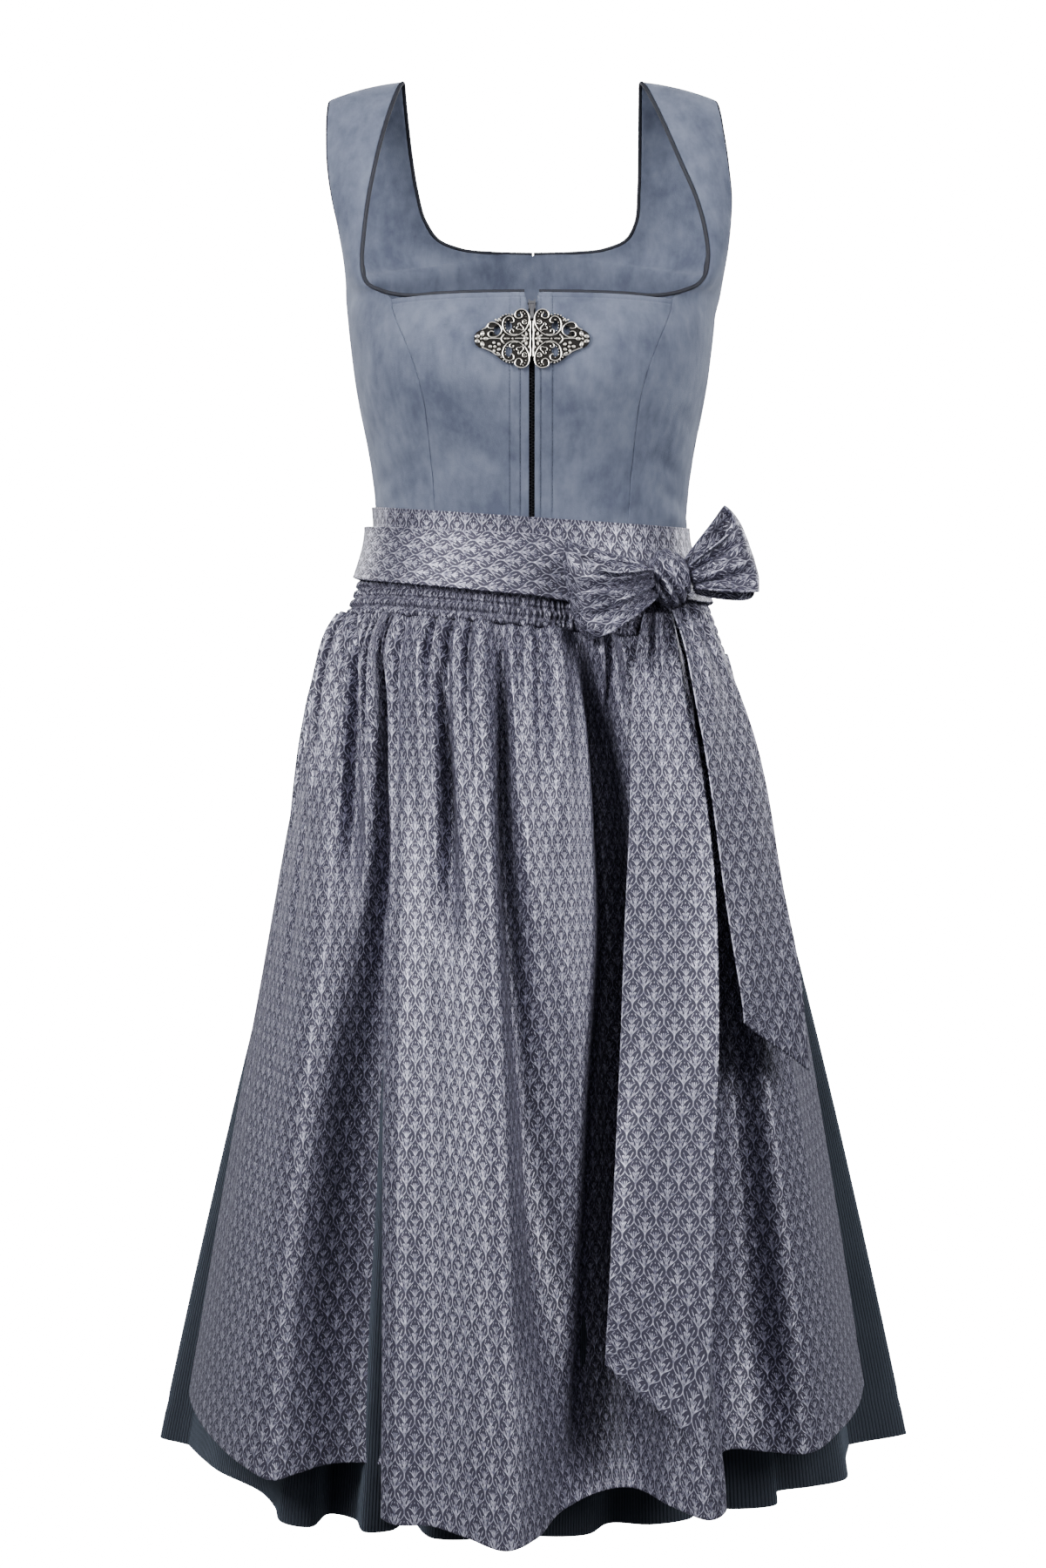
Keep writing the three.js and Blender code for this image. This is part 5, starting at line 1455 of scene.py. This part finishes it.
# ---- Fastenings ----------------------------------------------------------------------------------------------------
def make_zip():
    """Sets the zip's tape behind the front edges, with its closed coil between them."""
    behind = ZIP_LEAN * VELVET + SEAM_GAP
    z = np.linspace(ZIP_TOP, WAIST_Z, 60)[:, None]
    x = np.array([-ZIP_TAPE, -6, -ZIP_COIL, 0, ZIP_COIL, 6, ZIP_TAPE])[None, :]
    grid = front_at(x + 0 * z, z + 0 * x) + points(0, behind, 0)
    cloth("zip", grid, 1.0, "tape")
    deselect()
    bpy.ops.mesh.primitive_uv_sphere_add(segments=10, ring_count=6, radius=1, location=(0, 0, 0))
    link = bpy.context.active_object
    shape = np.array([v.co for v in link.data.vertices]) * TOOTH_SIZE
    facets = [list(face.vertices) for face in link.data.polygons]
    bpy.data.objects.remove(link)
    vertices, faces = [], []
    for k, height in enumerate(np.arange(ZIP_TOP - 1, WAIST_Z + 1, -TOOTH_PITCH)):
        seat = front_at(0.0, height) + (TOOTH_SIDE if k % 2 else -TOOTH_SIDE, TOOTH_BACK, 0)
        faces += [[corner + len(vertices) * len(shape) for corner in face] for face in facets]
        vertices.append(shape + seat)
    coil = mesh_object("zip_coil", np.concatenate(vertices), faces)
    finish_piece(coil, "coil")


# ---- Clasp ---------------------------------------------------------------------------------------------------------
# The clasp half of the wearer's left lies flat here: x from the centre line outwards, z up from its middle.
CLASP_Z, CLASP_OFF, CLASP_LEAN, PLATE_FACE = -214, 0.4, 9, -1.8
SCROLL_WIRE, CURL_WIRE, STEM_WIRE, GRAIN = 0.46, 0.36, 0.5, 0.5  # radii
# Bent wires, each given by the points that it runs through.
WIRES = (
    ((15.8, 12.2), (14.3, 12.0), (13.2, 13.6), (14.4, 16.1), (17.6, 16.8), (20.7, 14.2), (21.2, 9.0), (18.6, 4.2),
     (13.2, 2.0), (7.6, 4.0), (3.4, 9.0), (1.9, 14.0), (2.5, 18.6), (5.2, 21.6), (8.8, 22.0), (11.8, 20.2),
     (12.2, 17.2), (10.3, 15.3), (8.0, 15.9), (7.2, 17.9), (8.6, 19.2)),
    ((27.7, 7.9), (29.3, 7.5), (31.6, 8.2), (32.2, 10.2), (30.4, 12.0), (27.2, 12.0), (23.8, 10.2), (22.0, 6.8),
     (23.9, 2.8), (28.0, 0.8), (31.3, 1.8), (31.8, 4.0), (30.0, 5.4), (27.8, 4.8)),
    ((10.5, 3.3), (13.6, 3.0), (16.0, 4.4), (15.7, 6.6), (13.9, 6.7), (13.6, 5.2)),
    ((3.9, 12.0), (5.4, 10.9), (6.9, 12.5), (5.4, 14.1), (4.0, 13.2)),
    ((10.0, 10.2), (9.9, 11.5), (8.8, 11.7), (8.1, 10.2), (6.8, 8.9), (6.2, 7.2), (7.4, 6.1), (8.8, 6.9), (10.2, 6.8),
     (11.2, 7.8), (10.6, 9.0), (9.5, 9.4)),
)
HEART = 1  # the wire above that the lower side leaves out, with berries in its place
EDGE_WIRE = ((1.1, 13.4), (0.95, 9.0), (1.3, 4.6), (0.95, 0), (1.3, -4.6), (0.95, -9.0), (1.1, -13.4))
STEMS = (
    ((33.2, -0.2), (28.0, 0.0), (21.8, -0.2)),
    ((22.4, 0), (21.6, 1.8), (20.2, 3.2)),
    ((22.4, -0.4), (21.6, -2.2), (20.2, -3.6)),
    ((20.6, -0.1), (18.4, -0.05), (16.2, -0.1)),
    ((12.4, -0.1), (9.4, -0.05), (6.4, -0.1)),
    ((36.6, 6.6), (33.8, 8.2), (31.8, 11.4)),
    ((36.6, -6.8), (33.0, -8.2), (29.4, -9.8), (26.4, -12.2), (22.4, -12.8)),
)
# The plate behind them: its edge from the hooking edge outwards, and its openings as centre and half sizes.
PLATE_EDGE = (
    (0.5, 0), (0.5, 12.5), (1.4, 16), (3.4, 20.4), (7.4, 22.0), (11.2, 20.6), (13.4, 18.0), (18.4, 18.4), (23.2, 15.8),
    (27.2, 12.6), (31.8, 11.6), (34.4, 7.6), (38.6, 6.0), (41.2, 3.8), (42.2, 0), (41.2, -3.8), (38.6, -6.0),
    (34.0, -7.4), (29.6, -10.2), (26.0, -12.6), (22.8, -15.2), (18.4, -17.8), (13.4, -18.0), (11.2, -20.6),
    (7.4, -22.0), (3.4, -20.4), (1.4, -16), (0.5, -12.5),
)
OPENINGS = (
    (17.0, 9.4, 2.5, 4.4), (25.4, 6.3, 2.4, 3.5), (17.0, -9.4, 2.5, 4.4), (29.6, 3.2, 1.0, 0.9), (9.4, 18.2, 1.0, 1.0),
)
# Cast leaves, petals and beads: place, half length, half width and the turn of the length from straight up.
CAST = table(
    "x z long wide turn",
    (36.1, 3.7, 2.3, 1.7, -15),
    (39.8, 1.7, 2.1, 1.6, -70),
    (39.8, -2.1, 2.1, 1.6, -110),
    (36.1, -4.3, 2.3, 1.7, -165),
    (33.6, -0.2, 2.0, 1.5, 90),
    (36.9, -0.2, 1.0, 1.0, 0),
    (21.0, 2.3, 1.7, 0.75, -35),
    (21.0, -2.8, 1.7, 0.75, -145),
    (18.4, -0.1, 2.1, 0.75, 90),
    (14.2, -0.1, 0.85, 0.85, 0),
    (4.4, 0, 2.2, 1.5, 90),
    (6.3, 2.1, 1.7, 0.9, 55),
    (6.3, -2.1, 1.7, 0.9, 125),
    (4.2, 3.6, 1.9, 1.0, 8),
    (4.2, -3.6, 1.9, 1.0, 172),
    (1.9, 6.2, 1.5, 0.9, 20),
    (1.9, -6.2, 1.5, 0.9, 160),
    (27.7, -3.2, 1.3, 1.3, 0),
    (24.0, -4.3, 1.5, 1.3, 40),
    (30.4, -6.1, 1.5, 1.4, 90),
    (27.0, -6.2, 1.2, 1.2, 0),
    (24.1, -8.2, 1.5, 1.3, 120),
    (27.6, -9.4, 1.4, 1.2, 0),
    (25.7, 13.8, 1.9, 0.8, 60),
    (23.6, 14.4, 1.7, 0.8, 40),
    (24.6, -11.2, 1.7, 0.8, 60),
    (22.8, 16.0, 0.65, 0.65, 0),
    (21.1, 17.4, 0.65, 0.65, 0),
    (19.0, 18.2, 0.65, 0.65, 0),
    (16.8, 18.5, 0.65, 0.65, 0),
    (14.4, 18.1, 0.65, 0.65, 0),
    (22.3, -14.3, 0.65, 0.65, 0),
    (20.6, -16.2, 0.65, 0.65, 0),
    (18.6, -17.6, 0.65, 0.65, 0),
    (16.4, -18.3, 0.65, 0.65, 0),
    (14.1, -18.0, 0.65, 0.65, 0),
)
# Small beads inside the scrolls, the same above and below.
GRAINS = (
    (19.3, 12.2), (19.5, 10.0), (19.1, 7.9), (17.9, 6.0), (17.0, 14.3), (5.4, 12.5), (8.3, 19.9), (6.5, 20.2),
    (5.2, 18.8), (4.6, 16.6), (13.0, 8.8),
)


def bends(path):
    """Heading of a wire at each point of its path, in radians from straight up towards +X."""
    run = np.diff(np.array(path), axis=0)
    length = np.hypot(*run.T)
    chord = np.unwrap(np.arctan2(run[:, 0], run[:, 1]))
    inner = (chord[:-1] * length[1:] + chord[1:] * length[:-1]) / (length[:-1] + length[1:])
    return np.concatenate([[2 * chord[0] - inner[0]], inner, [2 * chord[-1] - inner[-1]]])


def bent_wire(path, radius, lift, flip=1):
    """A round wire spun in arcs through the points of its path, which lie in the clasp's plane."""
    path = [(x, z * flip) for x, z in path]
    turns = bends(path)
    deselect()
    bpy.ops.mesh.primitive_circle_add(
        vertices=8, radius=radius, location=(path[0][0], lift, path[0][1]), rotation=(0, turns[0], 0)
    )
    wire = bpy.context.active_object
    bpy.ops.object.transform_apply(location=True, rotation=True, scale=False)
    pick_all()
    for (x, z), (to_x, to_z), turn, next_turn in zip(path, path[1:], turns, turns[1:]):
        bend = next_turn - turn if abs(next_turn - turn) > 0.01 else 0.01
        chord = math.hypot(to_x - x, to_z - z)
        heading = math.atan2(to_x - x, to_z - z) - bend / 2
        reach = chord / 2 / math.sin(bend / 2)
        centre = (x + math.cos(heading) * reach, lift, z - math.sin(heading) * reach)
        steps = max(1, round(abs(bend) / 0.22))
        bpy.ops.mesh.spin(steps=steps, angle=-bend, center=centre, axis=(0, 1, 0))
    bpy.ops.mesh.select_all(action="SELECT")
    bpy.ops.mesh.fill_holes(sides=0)
    bpy.ops.object.mode_set(mode="OBJECT")
    return wire


def cut_plate():
    """The thin plate behind the openwork, cut out round its edge and pierced by its openings."""
    count = len(PLATE_EDGE) * 4
    edge = np.array([*PLATE_EDGE, PLATE_EDGE[0]], float)
    line = catmull_rom(points(edge[:, 0], 0, edge[:, 1]), np.linspace(0, 1, count, endpoint=False))
    deselect()
    bpy.ops.mesh.primitive_circle_add(vertices=count, radius=1, fill_type="NGON")
    plate = bpy.context.active_object
    for vertex, place in zip(plate.data.vertices, line):
        vertex.co = (max(place[0], 0.4), -0.2, place[2])
    pick_all()
    bpy.ops.mesh.extrude_region_move(TRANSFORM_OT_translate={"value": (0, PLATE_FACE + 0.5, 0)})
    bpy.ops.object.mode_set(mode="OBJECT")
    facing_out(plate)
    for x, z, wide, high in OPENINGS:
        deselect()
        bpy.ops.mesh.primitive_cylinder_add(
            vertices=28, radius=1, depth=6, location=(x, -1, z), rotation=(math.pi / 2, 0, 0), scale=(wide, high, 1)
        )
        punch = bpy.context.active_object
        cut = plate.modifiers.new("opening", "BOOLEAN")
        cut.operation, cut.object = "DIFFERENCE", punch
        bpy.context.view_layer.objects.active = plate
        bpy.ops.object.modifier_apply(modifier=cut.name)
        bpy.data.objects.remove(punch)
    return plate


def cast_bead(x, z, long, wide, turn):
    """A rounded leaf, petal or bead that stands on the plate."""
    bpy.ops.mesh.primitive_uv_sphere_add(
        segments=12, ring_count=8, radius=1, location=(x, PLATE_FACE - 0.1, z),
        rotation=(0, math.radians(turn), 0), scale=(wide, 0.55 + 0.35 * wide, long),
    )
    bpy.ops.object.transform_apply(location=True, rotation=True, scale=True)
    return bpy.context.active_object


def clasp_work():
    """The plate, wires, leaves and beads of the wearer's left half as one mesh, lying flat."""
    parts = [cut_plate()]
    for flip in (1, -1):
        for k, path in enumerate(WIRES):
            if flip > 0 or k != HEART:
                parts.append(bent_wire(path, SCROLL_WIRE if k <= HEART else CURL_WIRE, PLATE_FACE - 0.3, flip))
        for x, z in GRAINS:
            parts.append(cast_bead(x, z * flip, GRAIN, GRAIN, 0))
    for path in (*STEMS, EDGE_WIRE):
        parts.append(bent_wire(path, STEM_WIRE, PLATE_FACE - 0.2))
    for row in zip(*CAST.values()):
        parts.append(cast_bead(*row))
    deselect()
    for part in parts:
        part.select_set(True)
    bpy.context.view_layer.objects.active = parts[0]
    bpy.ops.object.join()
    return facing_out(parts[0])


def make_clasp():
    """Puts the openwork on both halves of the clasp and lays them on the bodice."""
    rise = math.tan(math.radians(CLASP_LEAN))
    up, x = np.array([-22, -11, 0, 11, 22])[:, None], np.array([0, 14, 28, 42])[None, :]
    seat = (front_at(x + 0 * up, CLASP_Z + up + 0 * x)[..., 1] - up * rise).min() - CLASP_OFF
    left = clasp_work()
    depth = np.array([v.co.y for v in left.data.vertices])
    relief = left.data.attributes.new("relief", "FLOAT", "POINT")
    relief.data.foreach_set("value", smooth(-depth, -PLATE_FACE - 0.25, -PLATE_FACE + 0.6))
    right = left.copy()
    right.data = left.data.copy()
    bpy.context.scene.collection.objects.link(right)
    lay = Matrix.Translation((0, seat * MM, CLASP_Z * MM)) @ Matrix.Rotation(-math.radians(CLASP_LEAN), 4, "X")
    for half, side, sign in ((left, "left", 1), (right, "right", -1)):
        half.data.transform(lay @ Matrix.Diagonal((sign * MM, MM, MM, 1)))
        facing_out(half)
        half.data.shade_smooth()
        bpy.ops.object.shade_smooth_by_angle(angle=math.radians(35))
        half.name = f"clasp_{side}"
        finish_piece(half, "silver", f"clasp_{side}")


def dress_nodes():
    """Gives the metal parts that keep their frame shape their finish."""
    for name in ("zip_slider", "zip_pull"):
        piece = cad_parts[name]
        piece.data.materials.clear()
        piece.data.materials.append(MATERIALS["steel"])


# ---- Stage ---------------------------------------------------------------------------------------------------------
CAMERA_AT, LENS = (-6.5, -1950, -538), 57.4
LIT_POINT = (0, 0, -400)  # what all the lights point at
FLOOR_Z = -1400
# Reach and rise of the paper: a floor that curves up into a wall all round.
PAPER = ((1, 0), (2500, 0), (5200, 0), (6600, 300), (7600, 1300), (8000, 3000), (8000, 9000))


def make_stage(settings):
    """Lays a pale floor that curves up all round the dress, hangs soft lights and points the camera."""
    knots = np.arange(len(PAPER), dtype=float)
    reach, rise = through(np.array(PAPER, float), knots, np.linspace(0, knots[-1], 60)).T[:, :, None]
    turn = np.linspace(0, 2 * np.pi, 97)[None, :]
    grid = points(reach * np.sin(turn), -reach * np.cos(turn), rise + FLOOR_Z)
    ids = np.arange(grid.shape[0] * grid.shape[1]).reshape(grid.shape[:2])
    backdrop = mesh_object("backdrop", grid.reshape(-1, 3), tiles(ids)[:, ::-1].tolist())
    backdrop.data.materials.append(stage_material(settings.paper_glow))
    backdrop.visible_diffuse = backdrop.visible_glossy = False
    # Name, place, size and power of each light.
    lights = (
        ("key_light", (-1000, -1100, 200), 750, settings.key_light),
        ("fill_light", (1250, -1300, 200), 1000, settings.fill_light),
        ("top_light", (100, -800, 1200), 900, settings.top_light),
        ("back_light_right", (-1300, 1300, 300), 1000, settings.back_light),
        ("back_light_left", (1300, 1300, 300), 1000, settings.back_light),
    )
    for name, place, size, energy in lights:
        lamp = bpy.data.lights.new(name, "AREA")
        lamp.size = size * MM
        lamp.energy = energy
        light = bpy.data.objects.new(name, lamp)
        light.location = Vector(place) * MM
        light.rotation_euler = (Vector(LIT_POINT) * MM - light.location).to_track_quat("-Z", "Y").to_euler()
        bpy.context.scene.collection.objects.link(light)
    world = bpy.data.worlds.new("studio")
    world.use_nodes = True
    air = world.node_tree.nodes["Background"].inputs
    air["Color"].default_value = (0.93, 0.95, 1.0, 1)
    air["Strength"].default_value = settings.room_light
    bpy.context.scene.world = world
    bpy.context.scene.view_settings.look = "AgX - Medium High Contrast"
    camera_data = bpy.data.cameras.new("camera")
    camera_data.lens = LENS
    camera_data.clip_end = 30
    camera = bpy.data.objects.new("camera", camera_data)
    camera.location = Vector(CAMERA_AT) * MM
    camera.rotation_euler = (math.pi / 2, 0, 0)
    bpy.context.scene.collection.objects.link(camera)
    bpy.context.scene.camera = camera


# ---- Settings ------------------------------------------------------------------------------------------------------
def colour(name, description, default):
    """A colour setting."""
    return FloatVectorProperty(
        name=name, description=description, default=default, subtype="COLOR", size=3, min=0, max=1
    )


class DirndlLook(bpy.types.PropertyGroup):
    """Colours and weaves of the cloths and metal."""

    velvet: colour("Velvet", "Where the nap catches the light", (0.215, 0.24, 0.31))
    velvet_shade: colour("Velvet shade", "Where the nap lies away from the light", (0.105, 0.12, 0.17))
    # Wale tops and grooves of the corduroy: painted sheen on the tops and painted shade in the grooves.
    corduroy: colour("Corduroy", "Top of the wales", (0.062, 0.072, 0.09))
    corduroy_groove_shade: colour("Corduroy groove", "Between the wales", (0.014, 0.017, 0.023))
    ground: colour("Apron ground", "Lighter threads of the jacquard's ground", (0.078, 0.074, 0.11))
    ground_shade: colour("Apron ground shade", "Darker threads of the jacquard's ground", (0.034, 0.0325, 0.052))
    # The tulips' lit and dim colours: the jacquard paints a sheen between them in random patches.
    motif: colour("Apron motif", "Lighter threads of the woven tulips", (0.78, 0.77, 0.9))
    motif_without_sheen: colour("Apron motif shade", "Darker threads of the woven tulips", (0.2, 0.197, 0.27))
    silver: colour("Silver", "Polished parts of the clasp", (0.78, 0.75, 0.7))
    tarnish: colour("Tarnish", "Recesses of the clasp", (0.05, 0.047, 0.045))
    wale_pitch: FloatProperty(name="Wale pitch", description="Width of a corduroy rib in mm", default=2.8, min=0.5)
    motif_width: FloatProperty(name="Motif width", description="Width of the woven repeat in mm", default=13.2, min=2)
    motif_height: FloatProperty(name="Motif height", description="Height of the woven repeat in mm", default=23, min=2)


class DirndlStage(bpy.types.PropertyGroup):
    """Lights of the stage."""

    key_light: FloatProperty(name="Key", description="Large light at the left", default=22, min=0, unit="POWER")
    fill_light: FloatProperty(name="Fill", description="Soft light at the right", default=24, min=0, unit="POWER")
    top_light: FloatProperty(name="Top", description="Light from above", default=4, min=0, unit="POWER")
    back_light: FloatProperty(name="Back", description="Two lights behind", default=14, min=0, unit="POWER")
    paper_glow: FloatProperty(name="Paper glow", description="Brightness of the paper", default=9, min=0)
    room_light: FloatProperty(name="Room", description="Even light all round", default=0.24, min=0)


# ---- Operators -----------------------------------------------------------------------------------------------------
class DIRNDL_OT_materials(bpy.types.Operator):
    """Makes the materials of the dress"""

    bl_idname = "dirndl.materials"
    bl_label = "Dye the cloths"

    def execute(self, context):
        make_materials(context.scene.dirndl_look)
        return {"FINISHED"}


class DIRNDL_OT_bodice(bpy.types.Operator):
    """Sews the eight velvet panels"""

    bl_idname = "dirndl.bodice"
    bl_label = "Sew the bodice"

    def execute(self, context):
        make_bodice()
        return {"FINISHED"}


class DIRNDL_OT_topstitching(bpy.types.Operator):
    """Stitches the placket and the facing"""

    bl_idname = "dirndl.topstitching"
    bl_label = "Topstitch the front"

    def execute(self, context):
        make_topstitching()
        return {"FINISHED"}


class DIRNDL_OT_piping(bpy.types.Operator):
    """Lays the neckline cord and the armhole piping"""

    bl_idname = "dirndl.piping"
    bl_label = "Pipe the edges"

    def execute(self, context):
        make_piping()
        return {"FINISHED"}


class DIRNDL_OT_skirt(bpy.types.Operator):
    """Hangs the front and back of the corduroy skirt"""

    bl_idname = "dirndl.skirt"
    bl_label = "Hang the skirt"

    def execute(self, context):
        make_skirt()
        return {"FINISHED"}


class DIRNDL_OT_apron(bpy.types.Operator):
    """Hangs the jacquard apron in its gathers and folds"""

    bl_idname = "dirndl.apron"
    bl_label = "Hang the apron"

    def execute(self, context):
        make_apron_skirt()
        return {"FINISHED"}


class DIRNDL_OT_yoke(bpy.types.Operator):
    """Smocks the apron's yoke"""

    bl_idname = "dirndl.yoke"
    bl_label = "Smock the yoke"

    def execute(self, context):
        make_yoke()
        return {"FINISHED"}


class DIRNDL_OT_waistband(bpy.types.Operator):
    """Fits the apron's band round the waist"""

    bl_idname = "dirndl.waistband"
    bl_label = "Fit the waistband"

    def execute(self, context):
        make_waistband()
        return {"FINISHED"}


class DIRNDL_OT_tie(bpy.types.Operator):
    """Wraps both sides of the tie"""

    bl_idname = "dirndl.tie"
    bl_label = "Wrap the tie"

    def execute(self, context):
        make_tie()
        return {"FINISHED"}


class DIRNDL_OT_tails(bpy.types.Operator):
    """Drops the bow's two tails"""

    bl_idname = "dirndl.tails"
    bl_label = "Drop the tails"

    def execute(self, context):
        make_tails()
        return {"FINISHED"}


class DIRNDL_OT_loops(bpy.types.Operator):
    """Turns the bow's two loops"""

    bl_idname = "dirndl.loops"
    bl_label = "Turn the loops"

    def execute(self, context):
        make_loops()
        return {"FINISHED"}


class DIRNDL_OT_knot(bpy.types.Operator):
    """Wraps the bow's knot"""

    bl_idname = "dirndl.knot"
    bl_label = "Wrap the knot"

    def execute(self, context):
        make_knot()
        return {"FINISHED"}


class DIRNDL_OT_zip(bpy.types.Operator):
    """Sets the zip behind the front edges"""

    bl_idname = "dirndl.zip"
    bl_label = "Set the zip"

    def execute(self, context):
        make_zip()
        return {"FINISHED"}


class DIRNDL_OT_clasp(bpy.types.Operator):
    """Fits both halves of the filigree clasp"""

    bl_idname = "dirndl.clasp"
    bl_label = "Fit the clasp"

    def execute(self, context):
        make_clasp()
        return {"FINISHED"}


class DIRNDL_OT_metal(bpy.types.Operator):
    """Gives the zip's slider and pull their steel"""

    bl_idname = "dirndl.metal"
    bl_label = "Finish the metal"

    def execute(self, context):
        dress_nodes()
        return {"FINISHED"}


class DIRNDL_OT_stage(bpy.types.Operator):
    """Sets the floor, the lights and the camera"""

    bl_idname = "dirndl.stage"
    bl_label = "Set the stage"

    def execute(self, context):
        make_stage(context.scene.dirndl_stage)
        return {"FINISHED"}


OPERATORS = [
    DIRNDL_OT_materials,
    DIRNDL_OT_bodice,
    DIRNDL_OT_topstitching,
    DIRNDL_OT_piping,
    DIRNDL_OT_skirt,
    DIRNDL_OT_apron,
    DIRNDL_OT_yoke,
    DIRNDL_OT_waistband,
    DIRNDL_OT_tie,
    DIRNDL_OT_tails,
    DIRNDL_OT_loops,
    DIRNDL_OT_knot,
    DIRNDL_OT_zip,
    DIRNDL_OT_clasp,
    DIRNDL_OT_metal,
    DIRNDL_OT_stage,
]


class DIRNDL_PT_sewing(bpy.types.Panel):
    """Lists the jobs of the making in order."""

    bl_label = "Dirndl"
    bl_idname = "DIRNDL_PT_sewing"
    bl_space_type = "VIEW_3D"
    bl_region_type = "UI"
    bl_category = "Dirndl"

    def draw(self, context):
        for made in OPERATORS:
            self.layout.operator(made.bl_idname)


CLASSES = [DirndlLook, DirndlStage, *OPERATORS, DIRNDL_PT_sewing]


def register():
    """Registers the classes and their settings."""
    for made in CLASSES:
        bpy.utils.register_class(made)
    bpy.types.Scene.dirndl_look = PointerProperty(type=DirndlLook)
    bpy.types.Scene.dirndl_stage = PointerProperty(type=DirndlStage)


def unregister():
    """Removes the classes and their settings."""
    del bpy.types.Scene.dirndl_stage
    del bpy.types.Scene.dirndl_look
    for made in reversed(CLASSES):
        bpy.utils.unregister_class(made)


def corners(bounds):
    """The two corners of a box as plain lists."""
    return [list(corner) for corner in bounds]


def main():
    """Makes the dress in order."""
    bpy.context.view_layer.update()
    register()
    for made in OPERATORS:
        getattr(bpy.ops.dirndl, made.bl_idname.split(".")[1])()


if __name__ == "__main__":
    main()
